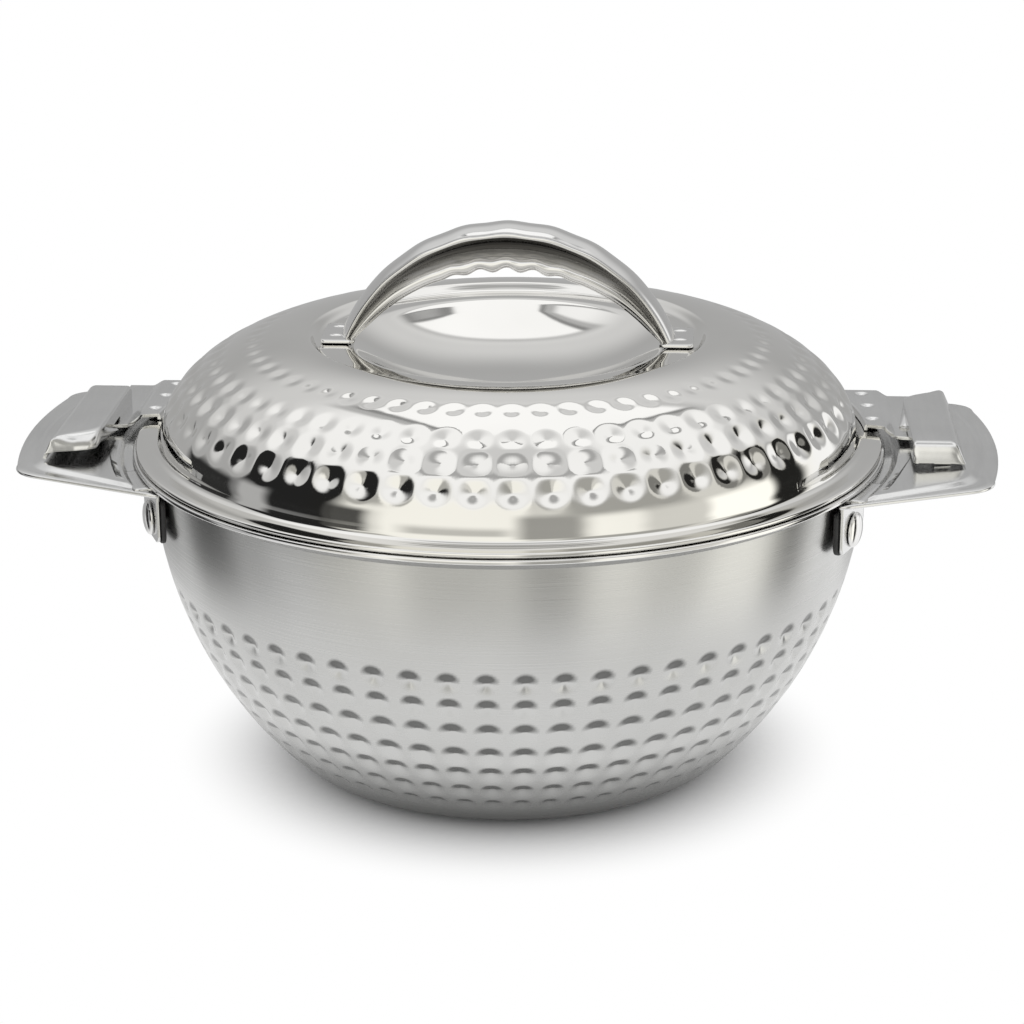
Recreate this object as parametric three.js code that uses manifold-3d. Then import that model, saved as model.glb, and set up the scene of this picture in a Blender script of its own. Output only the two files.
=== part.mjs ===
// Insulated chapati casserole: a double-walled bowl with two ear handles and a domed, insulated lid
// that turns a few degrees to lock and then lifts off. Lengths are millimetres and +Z is up.
// The origin is the middle of the base on the table, and +X points at the right-hand handle.

import * as THREE from "three";
import { mergeVertices } from "three/addons/utils/BufferGeometryUtils.js";
import Module from "manifold-3d";

const wasm = await Module();
wasm.setup();

// Clearances and tolerances.
const SEAT_GAP = 0.3;
const FOAM_GAP = 0.6;
const CUT_OVERRUN = 6;
const MERGE_DISTANCE = 1e-4;

// Sheet thicknesses.
const SHELL_SHEET = 0.6;
const PLATE_SHEET = 1.3;
const STRAP_SHEET = 1.2;

// Facets round a shell, round a small part, and along a bend.
const ROUND_STEPS = 40;
const FOAM_STEPS = 20;
const SMALL_STEPS = 12;
const BELLY_STEPS = 6;
const BEND_STEPS = 2;

// Bowl: the belly follows an ellipse whose middle lies at the top of the wall.
const RIM_RADIUS = 131;
const RIM_TOP = 116.1;
const RIM_SKIRT_DROP = 1.6;
const RIM_SKIRT_WALL = 1;
const WALL_INSET = 6;
const WALL_FLARE = 1.4;
const BELLY_SINK = 26.8;
const FOOT_BEND_RISE = 6;
const FOOT_BEND_RUN = 11.8;
const BASE_PLATE_INSET = 4;
const BASE_PLATE_THICKNESS = 1.2;

// Inner liner of the bowl, with a straight band at the mouth for the seal.
const MOUTH_INSET = 15;
const MOUTH_LIP = 1;
const SEAL_BAND_DEPTH = 12;
const LINER_SINK = 3.9;
const LINER_FLOOR = 13;
const LINER_BEND_RISE = 4;
const LINER_BEND_RUN = 8.7;

// Lid: flange, dome, step, ledge and dish.
const LID_FLANGE_INSET = 1;
const LID_FLANGE_WIDTH = 5.8;
const LID_HEM_HEIGHT = 1.6;
const LID_HEM_WIDTH = 1.6;
const DOME_FILLET = 3;
const DOME_RUN = 51.4;
const DOME_RISE = 36.3;
const DOME_EXPONENT = 1.85;
const DOME_STEPS = 6;
const CREST_WALL_WIDTH = 4;
const CREST_BEND = 1.4;
const LEDGE_DROP = 2.7;
const LEDGE_WIDTH = 11;
const DISH_DEPTH = 13;
const DISH_EXPONENT = 2.6;
const DISH_STEPS = 5;

// Pan under the lid that plugs the mouth, and the seal round it.
const PAN_SHEET = 0.6;
const PAN_CLEARANCE = 2.8;
const PAN_DEPTH = 8;
const PAN_BEND = 3;
const PAN_CROWN = 4;
const SEAL_HEIGHT = 5;
const SEAL_WALL_GAP = 0.35;
const SEAL_GROOVE_DEPTH = 0.6;
const SEAL_GROOVE_SHARE = 0.3;

// Side handle: a pressed plate with a raised panel and two bent legs.
const HANDLE_RIM_GAP = 2;
const HANDLE_REACH = 36.5;
const HANDLE_LIFT = 1.66;
const HANDLE_BOW = 4;
const HANDLE_CORNER_RADIUS = 9;
const HANDLE_ROOT_HALF_WIDTH = 65;
const HANDLE_TAPER = 16;
const PANEL_BORDER = 5;
const PANEL_RISE = 1.2;
const PANEL_SLOPE = 2;
const LEG_INSET = 15.9;
const LEG_WIDTH = 21;
const LEG_DROP = 22.1;
const LEG_BEND = 2.6;
const LEG_CORNER = 2.5;
const LEG_LARGE_CORNER = 9.5;
const LEG_ROOT_LAP = 3;

// Riveted joints of the legs.
const PAD_THICKNESS = 1.4;
const PAD_MARGIN = 1.5;
const PAD_HEIGHT = 15.3;
const PAD_OVERHANG = 0.4;
const RIVET_DROP = 15.7;
const RIVET_SHANK_RADIUS = 2.5;
const RIVET_HEAD_RADIUS = 6;
const RIVET_HEAD_EDGE = 0.7;
const RIVET_HEAD_HEIGHT = 2.2;
const RIVET_CROWN_SHARE = 0.6;
const RIVET_TAIL_RADIUS = 4;
const RIVET_TAIL_HEIGHT = 1.4;
const WASHER_RADIUS = 5.5;
const WASHER_THICKNESS = 1;
const POCKET_MARGIN = 1;

// Lid strap: a flat welded over the flange, a joggle, and a tongue that turns under the keeper.
const STRAP_LENGTH = 46;
const STRAP_FLARE = 5;
const STRAP_RISE = 1.4;
const STRAP_LEAF = 1;
const STRAP_JOGGLE_RUN = 4.5;
const STRAP_NECK_REACH = 4.5;
const WELD_RADIUS = 1.7;
const WELD_INSET = 3;
const WELD_SHARES = [0.2, 0.52, 0.84];
const TONGUE_REACH = 13;
const TONGUE_FRONT = 11.5;
const TONGUE_LENGTH = 33.5;
const TONGUE_CLEARANCE = 1;

// Lock cap seated on the strap, and the keeper on the handle that the tongue turns under.
const CAP_INSET = 6;
const CAP_TOP_WIDTH = 14.5;
const CAP_LEAN = 3.3;
const CAP_HEIGHT = 7.8;
const CAP_LENGTH = 68;
const CAP_CENTRE_SHIFT = 5;
const CAP_SHEET = 1.2;
const CAP_CORNER = 5;
const CAP_OPEN_BAND = 3.5;
const CAP_OPEN_LENGTH = 14;
const CAP_WINDOW_MARGIN = 1.5;
const KEEPER_FACE = 22.6;
const KEEPER_SHEET = 1.4;
const KEEPER_FOOT = 2.4;
const KEEPER_LIP = 10.4;
const KEEPER_INSET = 7.3;
const KEEPER_WIDTH = 5.5;

// Top handle: a crescent arch of pressed sheet with hemmed edges and finger scallops.
const FOOT_TAB_GAP = 1.6;
const FOOT_TAB_LENGTH = 10.2;
const FOOT_TAB_WIDTH = 24;
const ARCH_FOOT_INSET = 8.2;
const ARCH_FOOT_THICKNESS = 2.2;
const ARCH_RISE = 38.2;
const ARCH_CROWN = 2.4;
const ARCH_UNDER_RISE = 26.5;
const ARCH_WIDTH = 20;
const ARCH_SHEET = 1.2;
const ARCH_RECESS = 1.6;
const ARCH_BEAD_HEIGHT = 3.2;
const ARCH_BEAD_LAP = 0.9;
const ARCH_BEAD_OUT = 1.1;
const ARCH_CROWN_STEPS = 4;
const ARCH_RING_STEPS = 36;
const ARCH_STEPS = 14;
const SCALLOP_STEPS = 42;
const SCALLOP_PITCH = 10;
const SCALLOP_HEIGHT = 0.8;
const SCALLOP_REACH = 24;

// Radii that follow from the rim.
const WALL_RADIUS = RIM_RADIUS - WALL_INSET;
const MOUTH_RADIUS = RIM_RADIUS - MOUTH_INSET;
const PAN_RADIUS = MOUTH_RADIUS - PAN_CLEARANCE;
const LID_FLANGE_RADIUS = RIM_RADIUS - LID_FLANGE_INSET;
const STRAP_INNER_RADIUS = LID_FLANGE_RADIUS - LID_FLANGE_WIDTH + SEAT_GAP;
const WELD_ORBIT = LID_FLANGE_RADIUS - WELD_INSET;
const DOME_FOOT_RADIUS = LID_FLANGE_RADIUS - LID_FLANGE_WIDTH - DOME_FILLET;
const CREST_RADIUS = DOME_FOOT_RADIUS - DOME_RUN;
const DISH_RADIUS = CREST_RADIUS - CREST_WALL_WIDTH - LEDGE_WIDTH;
const FOOT_TAB_OUTER = CREST_RADIUS - CREST_WALL_WIDTH - FOOT_TAB_GAP;
const FOOT_TAB_INNER = FOOT_TAB_OUTER - FOOT_TAB_LENGTH;
const ARCH_HALF_SPAN = FOOT_TAB_OUTER - ARCH_FOOT_INSET;
const ARCH_UNDER_HALF_SPAN = ARCH_HALF_SPAN - ARCH_FOOT_THICKNESS;
const HANDLE_INNER_RADIUS = RIM_RADIUS + HANDLE_RIM_GAP;
const HANDLE_TIP = HANDLE_INNER_RADIUS + HANDLE_REACH;
const HANDLE_CORNER_X = HANDLE_TIP - HANDLE_BOW;
const HANDLE_TIP_HALF_WIDTH = HANDLE_ROOT_HALF_WIDTH - HANDLE_TAPER;
const HANDLE_TILT = Math.atan2(HANDLE_LIFT, HANDLE_REACH);
const CAP_INNER = HANDLE_INNER_RADIUS + CAP_INSET;
const CAP_TOP_OUTER = CAP_INNER + CAP_TOP_WIDTH;
const CAP_FOOT_OUTER = CAP_TOP_OUTER + CAP_LEAN;
const CAP_FRONT = CAP_CENTRE_SHIFT - CAP_LENGTH / 2;
const CAP_BACK = CAP_CENTRE_SHIFT + CAP_LENGTH / 2;
const STRAP_JOGGLE_START = HANDLE_INNER_RADIUS;
const STRAP_NECK_END = CAP_INNER + STRAP_NECK_REACH;
const TONGUE_END = CAP_INNER + TONGUE_REACH;
const KEEPER_INNER = CAP_INNER + KEEPER_INSET;

// Heights that follow from the rim.
const SHELL_FLOOR = BASE_PLATE_THICKNESS + SEAT_GAP;
const RIM_UNDER = RIM_TOP - SHELL_SHEET;
const SHELL_EDGE_UNDER = RIM_UNDER - SEAT_GAP - SHELL_SHEET;
const WALL_TOP = SHELL_EDGE_UNDER - WALL_FLARE;
const BELLY_DROP = WALL_TOP + BELLY_SINK;
const SEAL_BAND_BOTTOM = RIM_TOP - SEAL_BAND_DEPTH;
const LINER_DROP = SEAL_BAND_BOTTOM + LINER_SINK;
const LID_FLANGE_UNDER = RIM_TOP + SEAT_GAP;
const LID_FLANGE_TOP = LID_FLANGE_UNDER + LID_HEM_HEIGHT;
const CREST_TOP = LID_FLANGE_TOP + DOME_RISE;
const LEDGE_TOP = CREST_TOP - LEDGE_DROP;
const HANDLE_TOP = RIM_TOP - RIM_SKIRT_DROP - SEAT_GAP;
const LEG_BOTTOM = RIM_TOP - LEG_DROP;
const RIVET_HEIGHT = RIM_TOP - RIVET_DROP;
const PAD_TOP = LEG_BOTTOM - PAD_OVERHANG + PAD_HEIGHT;
const TONGUE_UNDER = panelTop(TONGUE_END) + TONGUE_CLEARANCE;
const TONGUE_TOP = TONGUE_UNDER + STRAP_SHEET;
const STRAP_TOP = LID_FLANGE_TOP + STRAP_RISE + STRAP_SHEET;
const CAP_UNDER = panelTop(CAP_FOOT_OUTER) + SEAT_GAP;
const CAP_TOP = CAP_UNDER + CAP_HEIGHT;

// The legs, pads and washers stand along the radius where the wall has that height.
const PAD_INNER = bellyRadius(PAD_TOP) + SEAT_GAP;
const LEG_INNER = PAD_INNER + PAD_THICKNESS + SEAT_GAP;
const LEG_OUTER = LEG_INNER + PLATE_SHEET;
const LEG_ANGLE = Math.asin((HANDLE_ROOT_HALF_WIDTH - LEG_INSET) / LEG_OUTER);
const WASHER_OUTER = flatSeatInsideShell(RIVET_HEIGHT - WASHER_RADIUS, WASHER_RADIUS) - SEAT_GAP;
const WASHER_INNER = WASHER_OUTER - WASHER_THICKNESS;
const FOAM_INNER_GAP = FOAM_GAP + MOUTH_RADIUS * (1 - Math.cos(Math.PI / FOAM_STEPS));

// Height of the upper face of a side handle's raised panel at a distance x from the middle.
function panelTop(x) {
  return HANDLE_TOP + PANEL_RISE + (x - HANDLE_INNER_RADIUS) * Math.tan(HANDLE_TILT);
}

// Radius of the outside of the belly at a height below the top of the wall.
function bellyRadius(height) {
  const share = (WALL_TOP - height) / BELLY_DROP;
  return WALL_RADIUS * Math.sqrt(1 - share * share);
}

// Distance from the middle at which a flat disc of that half width clears the faceted inner wall.
function flatSeatInsideShell(height, halfWidth) {
  const facetRadius = (bellyRadius(height) - SHELL_SHEET) * Math.cos(Math.PI / ROUND_STEPS);
  return Math.sqrt(facetRadius * facetRadius - halfWidth * halfWidth);
}

function point(x, y) {
  return new THREE.Vector2(x, y);
}

// A geometry as a solid that can be joined and cut.
function toSolid(geometry) {
  const bare = geometry.clone();
  bare.deleteAttribute("normal");
  bare.deleteAttribute("uv");
  const merged = mergeVertices(bare, MERGE_DISTANCE);
  const vertProperties = new Float32Array(merged.getAttribute("position").array);
  const triVerts = new Uint32Array(merged.index.array);
  return new wasm.Manifold(new wasm.Mesh({ numProp: 3, vertProperties, triVerts }));
}

function toGeometry(solid) {
  const mesh = solid.getMesh();
  const geometry = new THREE.BufferGeometry();
  geometry.setAttribute("position", new THREE.BufferAttribute(mesh.vertProperties, mesh.numProp));
  geometry.setIndex(new THREE.BufferAttribute(mesh.triVerts, 1));
  geometry.computeVertexNormals();
  return geometry;
}

function join(first, ...others) {
  return toGeometry(others.reduce((whole, next) => whole.add(toSolid(next)), toSolid(first)));
}

function cut(body, ...tools) {
  return toGeometry(tools.reduce((left, tool) => left.subtract(toSolid(tool)), toSolid(body)));
}

function meet(first, second) {
  return toGeometry(toSolid(first).intersect(toSolid(second)));
}

// A profile of radius and height turned about the Z axis.
function turned(profile, steps = ROUND_STEPS) {
  const geometry = new THREE.LatheGeometry(profile, steps);
  geometry.rotateX(Math.PI / 2);
  return geometry;
}

// An outline in X and Y raised from one height to another.
function slab(outline, bottom, top) {
  const geometry = new THREE.ExtrudeGeometry(outline, {
    depth: top - bottom,
    bevelEnabled: false,
    curveSegments: SMALL_STEPS / 4,
  });
  geometry.translate(0, 0, bottom);
  return geometry;
}

// An outline in X and Z drawn out along Y between two places.
function upright(outline, yFrom, yTo) {
  const geometry = new THREE.ExtrudeGeometry(outline, { depth: yTo - yFrom, bevelEnabled: false });
  geometry.rotateX(Math.PI / 2);
  geometry.translate(0, yTo, 0);
  return geometry;
}

function box(xFrom, xTo, yFrom, yTo, zFrom, zTo) {
  const geometry = new THREE.BoxGeometry(xTo - xFrom, yTo - yFrom, zTo - zFrom);
  geometry.translate((xFrom + xTo) / 2, (yFrom + yTo) / 2, (zFrom + zTo) / 2);
  return geometry;
}

// A cylinder lying along the radius at an angle round the casserole, between two radii.
function radialPin(radius, from, to, angle, height) {
  const geometry = new THREE.CylinderGeometry(radius, radius, to - from, SMALL_STEPS);
  geometry.rotateZ(Math.PI / 2);
  geometry.translate((from + to) / 2, 0, height);
  geometry.rotateZ(angle);
  return geometry;
}

// A profile moved sideways by a distance, to the right of its direction of travel.
function offsetProfile(profile, distance) {
  return profile.map((here, i) => {
    const before = profile[Math.max(i - 1, 0)];
    const after = profile[Math.min(i + 1, profile.length - 1)];
    const arriving = here.clone().sub(i === 0 ? after : before);
    const leaving = after.clone().sub(i === profile.length - 1 ? before : here);
    if (i === 0) arriving.copy(leaving);
    if (i === profile.length - 1) leaving.copy(arriving);
    const normalIn = point(arriving.y, -arriving.x).normalize();
    const normalOut = point(leaving.y, -leaving.x).normalize();
    const middle = normalIn.clone().add(normalOut).normalize();
    const moved = here.clone().addScaledVector(middle, distance / middle.dot(normalIn));
    return here.x === 0 ? point(0, moved.y) : moved;
  });
}

// A quarter bend between two points, with the corner that it rounds.
function bend(start, corner, end, steps = BEND_STEPS) {
  return new THREE.QuadraticBezierCurve(start, corner, end).getPoints(steps);
}

// The side of a bowl from the axis outwards: flat floor, rounded foot, and an elliptical belly.
function bowlSide(floor, footRun, footRise, topRadius, top, drop) {
  const angle = Math.asin((top - floor - footRise) / drop);
  const belly = new THREE.EllipseCurve(0, top, topRadius, drop, -angle, 0).getPoints(BELLY_STEPS);
  const slope = (drop * Math.cos(angle)) / (topRadius * Math.sin(angle));
  const corner = point(belly[0].x - footRise / slope, floor);
  const foot = bend(point(corner.x - footRun, floor), corner, belly[0]);
  return [point(0, floor), ...foot, ...belly.slice(1)];
}

function outerShellSide() {
  const side = bowlSide(
    SHELL_FLOOR,
    FOOT_BEND_RUN,
    FOOT_BEND_RISE,
    WALL_RADIUS,
    WALL_TOP,
    BELLY_DROP,
  );
  const corner = point(WALL_RADIUS, SHELL_EDGE_UNDER);
  const flare = bend(side.at(-1), corner, point(WALL_RADIUS + WALL_FLARE, SHELL_EDGE_UNDER));
  return [...side, ...flare.slice(1)];
}

function linerSide() {
  return bowlSide(
    LINER_FLOOR,
    LINER_BEND_RUN,
    LINER_BEND_RISE,
    MOUTH_RADIUS,
    SEAL_BAND_BOTTOM,
    LINER_DROP,
  );
}

function linerSideWithLip() {
  const corner = point(MOUTH_RADIUS, RIM_TOP);
  const start = point(MOUTH_RADIUS, RIM_TOP - MOUTH_LIP);
  const lip = bend(start, corner, point(MOUTH_RADIUS + MOUTH_LIP, RIM_TOP));
  return [...linerSide(), ...lip];
}

// Pressed outer shell of the bowl, drilled for the four rivets.
function outerShell() {
  const outside = outerShellSide();
  const inside = offsetProfile(outside, -SHELL_SHEET).reverse();
  const shell = turned([...outside, ...inside]);
  return cut(shell, ...rivetPlaces().map((place) => rivetHole(place)));
}

// Inner liner, which ends in a small lip at the mouth.
function innerLiner() {
  const inside = linerSideWithLip();
  const outside = offsetProfile(inside, SHELL_SHEET).reverse();
  return turned([...inside, ...outside].reverse());
}

// Flat rim from the liner's lip out over the edge of the outer shell, folded down at its own edge.
function rimRing() {
  const inner = MOUTH_RADIUS + MOUTH_LIP + SEAT_GAP;
  const skirtInner = RIM_RADIUS - RIM_SKIRT_WALL;
  const corners = [
    point(inner, RIM_UNDER),
    point(skirtInner, RIM_UNDER),
    point(skirtInner, RIM_TOP - RIM_SKIRT_DROP),
    point(RIM_RADIUS, RIM_TOP - RIM_SKIRT_DROP),
    point(RIM_RADIUS, RIM_TOP),
    point(inner, RIM_TOP),
  ];
  return turned([...corners, corners[0]]);
}

// Foam between the two walls, with pockets round the tails of the rivets.
function bowlInsulation() {
  const top = SHELL_EDGE_UNDER - FOAM_GAP;
  const belowTop = (place) => place.y < top;
  const outside = offsetProfile(outerShellSide(), -SHELL_SHEET - FOAM_GAP).filter(belowTop);
  const inside = offsetProfile(linerSide(), SHELL_SHEET + FOAM_INNER_GAP);
  outside.push(point(outside.at(-1).x, top));
  inside.push(point(inside.at(-1).x, top));
  const body = turned([...outside, ...inside.reverse()], FOAM_STEPS);
  const reach = WASHER_RADIUS + POCKET_MARGIN;
  const start = WASHER_INNER - RIVET_TAIL_HEIGHT - POCKET_MARGIN;
  const pockets = rivetPlaces().map((angle) =>
    radialPin(reach, start, WALL_RADIUS + CUT_OVERRUN, angle, RIVET_HEIGHT),
  );
  return cut(body, ...pockets);
}

// Disc under the flat middle of the outer shell.
function basePlate() {
  const radius = outerShellSide()[1].x - BASE_PLATE_INSET;
  const geometry = new THREE.CylinderGeometry(radius, radius, BASE_PLATE_THICKNESS, ROUND_STEPS);
  geometry.rotateX(Math.PI / 2);
  geometry.translate(0, 0, BASE_PLATE_THICKNESS / 2);
  return geometry;
}

// Angles of the four riveted legs round the bowl.
function rivetPlaces() {
  return [-LEG_ANGLE, LEG_ANGLE, Math.PI - LEG_ANGLE, Math.PI + LEG_ANGLE];
}

function rivetHole(angle) {
  const radius = RIVET_SHANK_RADIUS + SEAT_GAP;
  const from = WASHER_INNER - CUT_OVERRUN;
  return radialPin(radius, from, LEG_OUTER + CUT_OVERRUN, angle, RIVET_HEIGHT);
}

// Upper face of the lid from the middle outwards: dish, ledge, step, dome, fillet and flange.
function lidTop() {
  const dish = [];
  for (let i = 0; i <= DISH_STEPS; i += 1) {
    const share = i / DISH_STEPS;
    const depth = DISH_DEPTH * (1 - share ** DISH_EXPONENT);
    dish.push(point(DISH_RADIUS * share, LEDGE_TOP - depth));
  }
  const wallFoot = point(CREST_RADIUS - CREST_WALL_WIDTH, LEDGE_TOP);
  const crest = bend(
    point(CREST_RADIUS - CREST_BEND, CREST_TOP - CREST_BEND / 2),
    point(CREST_RADIUS - CREST_BEND / 2, CREST_TOP),
    point(CREST_RADIUS, CREST_TOP),
  );
  const dome = [];
  const power = 2 / DOME_EXPONENT;
  for (let i = 1; i <= DOME_STEPS; i += 1) {
    const angle = (Math.PI / 2) * (1 - i / DOME_STEPS);
    const radius = CREST_RADIUS + (DOME_FOOT_RADIUS - CREST_RADIUS) * Math.cos(angle) ** power;
    const share = Math.sin(angle) ** power;
    dome.push(point(radius, LID_FLANGE_TOP + DOME_FILLET + (DOME_RISE - DOME_FILLET) * share));
  }
  const fillet = bend(
    dome.at(-1),
    point(DOME_FOOT_RADIUS, LID_FLANGE_TOP),
    point(DOME_FOOT_RADIUS + DOME_FILLET, LID_FLANGE_TOP),
  );
  return [...dish, wallFoot, ...crest, ...dome, ...fillet.slice(1)];
}

// Pressed lid with a folded hem at the edge of its flange.
function lidShell() {
  const top = lidTop();
  const under = offsetProfile(top, SHELL_SHEET).reverse();
  const hemInner = LID_FLANGE_RADIUS - LID_HEM_WIDTH;
  const hem = [
    point(LID_FLANGE_RADIUS, LID_FLANGE_TOP),
    point(LID_FLANGE_RADIUS, LID_FLANGE_UNDER),
    point(hemInner, LID_FLANGE_UNDER),
    point(hemInner, LID_FLANGE_TOP - SHELL_SHEET),
  ];
  return turned([...top, ...hem, ...under].reverse());
}

// Underside of the pan that plugs the mouth, from the middle outwards.
function panSide() {
  const floor = LID_FLANGE_UNDER - PAN_DEPTH;
  const corner = bend(
    point(PAN_RADIUS - PAN_BEND, floor),
    point(PAN_RADIUS, floor),
    point(PAN_RADIUS, floor + PAN_BEND),
  );
  return [point(0, floor + PAN_CROWN), ...corner, point(PAN_RADIUS, LID_FLANGE_UNDER)];
}

function panFlangeRadius() {
  return LID_FLANGE_RADIUS - LID_HEM_WIDTH - SEAT_GAP;
}

function lidPan() {
  const under = [...panSide(), point(panFlangeRadius(), LID_FLANGE_UNDER)];
  const top = offsetProfile(under, -PAN_SHEET).reverse();
  return turned([...under, ...top]);
}

// Foam that fills the lid between the pan and the pressed top.
function lidInsulation() {
  const flangeTop = LID_FLANGE_UNDER + PAN_SHEET + FOAM_GAP;
  const pan = offsetProfile(panSide(), -PAN_SHEET - FOAM_GAP).slice(0, -1);
  const wall = pan.at(-1).x;
  const top = offsetProfile(lidTop(), SHELL_SHEET + FOAM_GAP);
  const domed = top.filter((place) => place.y > flangeTop + FOAM_GAP);
  const edge = point(domed.at(-1).x, flangeTop);
  return turned([...pan, point(wall, flangeTop), edge, ...domed.reverse()]);
}

// Silicone ring round the pan, grooved once so that it seals with two lips. Its flat facets clear
// the pan's corners when the lid turns.
function sealRing() {
  const inner = (PAN_RADIUS + SEAT_GAP) / Math.cos(Math.PI / ROUND_STEPS);
  const outer = MOUTH_RADIUS - SEAL_WALL_GAP;
  const top = LID_FLANGE_UNDER - MOUTH_LIP - SEAT_GAP;
  const bottom = top - SEAL_HEIGHT;
  const groove = outer - SEAL_GROOVE_DEPTH;
  const lip = (SEAL_HEIGHT * (1 - SEAL_GROOVE_SHARE)) / 2;
  const corners = [
    point(inner, bottom),
    point(outer, bottom),
    point(outer, bottom + lip),
    point(groove, bottom + lip),
    point(groove, top - lip),
    point(outer, top - lip),
    point(outer, top),
    point(inner, top),
  ];
  return turned([...corners, corners[0]]);
}

// Plan of a side handle, or of the same outline drawn in by a margin.
function handleOutline(margin) {
  const inner = HANDLE_INNER_RADIUS + margin;
  const root = HANDLE_ROOT_HALF_WIDTH - margin;
  const rootX = Math.sqrt(inner * inner - root * root);
  const tip = HANDLE_TIP - margin;
  const cornerX = HANDLE_CORNER_X - margin;
  const cornerY = HANDLE_TIP_HALF_WIDTH - margin;
  const round = HANDLE_CORNER_RADIUS;
  const lean = (root - cornerY) / (cornerX - rootX);
  const outline = new THREE.Shape();
  outline.moveTo(rootX, -root);
  outline.lineTo(cornerX - round, -cornerY - round * lean);
  outline.quadraticCurveTo(cornerX, -cornerY, cornerX, -cornerY + round);
  outline.quadraticCurveTo(2 * tip - cornerX, 0, cornerX, cornerY - round);
  outline.quadraticCurveTo(cornerX, cornerY, cornerX - round, cornerY + round * lean);
  outline.lineTo(rootX, root);
  const sweep = Math.asin(root / inner);
  outline.absarc(0, 0, inner, sweep, -sweep, true);
  return outline;
}

// A slab within the panel's border, with walls that lean in by the panel's slope as they rise.
function raisedPanel(bottom, rise) {
  const size = PANEL_SLOPE * (rise / PANEL_RISE);
  const geometry = new THREE.ExtrudeGeometry(handleOutline(PANEL_BORDER + PANEL_SLOPE), {
    depth: 0,
    bevelEnabled: true,
    bevelSegments: 1,
    bevelSize: size,
    bevelThickness: rise,
    curveSegments: SMALL_STEPS / 4,
  });
  const reach = HANDLE_TIP + size;
  geometry.translate(0, 0, bottom);
  return meet(geometry, box(0, reach, -reach, reach, bottom, bottom + rise));
}

// Sheet plate of a side handle, lying flat with its upper border face at height 0.
function flatHandlePlate() {
  const blank = slab(handleOutline(0), -PLATE_SHEET, 0);
  const lap = PLATE_SHEET / 2;
  const panel = raisedPanel(-lap, PANEL_RISE + lap);
  const hollow = raisedPanel(-PLATE_SHEET - lap, PANEL_RISE + lap);
  return cut(join(blank, panel), hollow);
}

// One bent leg, along +X: a tongue of the plate runs in under the rim and turns down the wall.
// Its large lower corner is on the side of the handle's middle, at +Y or at -Y.
function handleLeg(middle) {
  const under = HANDLE_TOP - PLATE_SHEET;
  const root = HANDLE_INNER_RADIUS + LEG_ROOT_LAP;
  const outline = new THREE.Shape([
    point(LEG_INNER, LEG_BOTTOM),
    point(LEG_OUTER, LEG_BOTTOM),
    point(LEG_OUTER, under - LEG_BEND / 2),
    point(LEG_OUTER + LEG_BEND / 2, under),
    point(root, under),
    point(root, HANDLE_TOP),
    point(LEG_INNER + LEG_BEND, HANDLE_TOP),
    point(LEG_INNER, HANDLE_TOP - LEG_BEND),
  ]);
  return meet(upright(outline, -LEG_WIDTH / 2, LEG_WIDTH / 2), legFace(middle));
}

// Seen from outside, a leg is a strip with one lightly and one largely rounded lower corner.
function legFace(middle) {
  const half = LEG_WIDTH / 2;
  const left = middle > 0 ? LEG_CORNER : LEG_LARGE_CORNER;
  const right = middle > 0 ? LEG_LARGE_CORNER : LEG_CORNER;
  const face = new THREE.Shape();
  face.moveTo(-half, LEG_BOTTOM + left);
  face.quadraticCurveTo(-half, LEG_BOTTOM, -half + left, LEG_BOTTOM);
  face.lineTo(half - right, LEG_BOTTOM);
  face.quadraticCurveTo(half, LEG_BOTTOM, half, LEG_BOTTOM + right);
  face.lineTo(half, RIM_TOP + CUT_OVERRUN);
  face.lineTo(-half, RIM_TOP + CUT_OVERRUN);
  const reach = HANDLE_TIP - LEG_INNER + CUT_OVERRUN;
  const geometry = new THREE.ExtrudeGeometry(face, {
    depth: reach,
    bevelEnabled: false,
    curveSegments: SMALL_STEPS / 4,
  });
  geometry.rotateX(Math.PI / 2);
  geometry.rotateZ(Math.PI / 2);
  geometry.translate(LEG_INNER - CUT_OVERRUN / 2, 0, 0);
  return geometry;
}

function sideHandle() {
  const plate = flatHandlePlate();
  plate.translate(-HANDLE_INNER_RADIUS, 0, 0);
  plate.rotateY(-HANDLE_TILT);
  plate.translate(HANDLE_INNER_RADIUS, 0, HANDLE_TOP);
  const legs = [-LEG_ANGLE, LEG_ANGLE].map((angle) => handleLeg(-angle).rotateZ(angle));
  const holes = [-LEG_ANGLE, LEG_ANGLE].map((angle) => rivetHole(angle));
  return cut(join(plate, ...legs), ...holes);
}

// Dark spacer between a leg and the bowl, a little larger than the leg.
function spacerPad(angle) {
  const half = LEG_WIDTH / 2 + PAD_MARGIN;
  const bottom = PAD_TOP - PAD_HEIGHT;
  const pad = box(PAD_INNER, PAD_INNER + PAD_THICKNESS, -half, half, bottom, PAD_TOP);
  pad.rotateZ(angle);
  return cut(pad, rivetHole(angle));
}

// Rivet with a low domed head outside the leg and a flattened tail behind the washer.
function rivet(angle) {
  const headBase = LEG_OUTER + SEAT_GAP;
  const tailTop = WASHER_INNER - SEAT_GAP;
  const edge = point(RIVET_HEAD_RADIUS, headBase + RIVET_HEAD_EDGE);
  const crown = point(0, headBase + RIVET_HEAD_HEIGHT);
  const dome = bend(edge, point(RIVET_HEAD_RADIUS * RIVET_CROWN_SHARE, crown.y), crown, BEND_STEPS + 1);
  const profile = [
    point(0, tailTop - RIVET_TAIL_HEIGHT),
    point(RIVET_TAIL_RADIUS, tailTop - RIVET_TAIL_HEIGHT),
    point(RIVET_TAIL_RADIUS, tailTop),
    point(RIVET_SHANK_RADIUS, tailTop),
    point(RIVET_SHANK_RADIUS, headBase),
    point(RIVET_HEAD_RADIUS, headBase),
    ...dome,
  ];
  const geometry = turned(profile, SMALL_STEPS);
  geometry.rotateY(Math.PI / 2);
  geometry.translate(0, 0, RIVET_HEIGHT);
  geometry.rotateZ(angle);
  return geometry;
}

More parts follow.
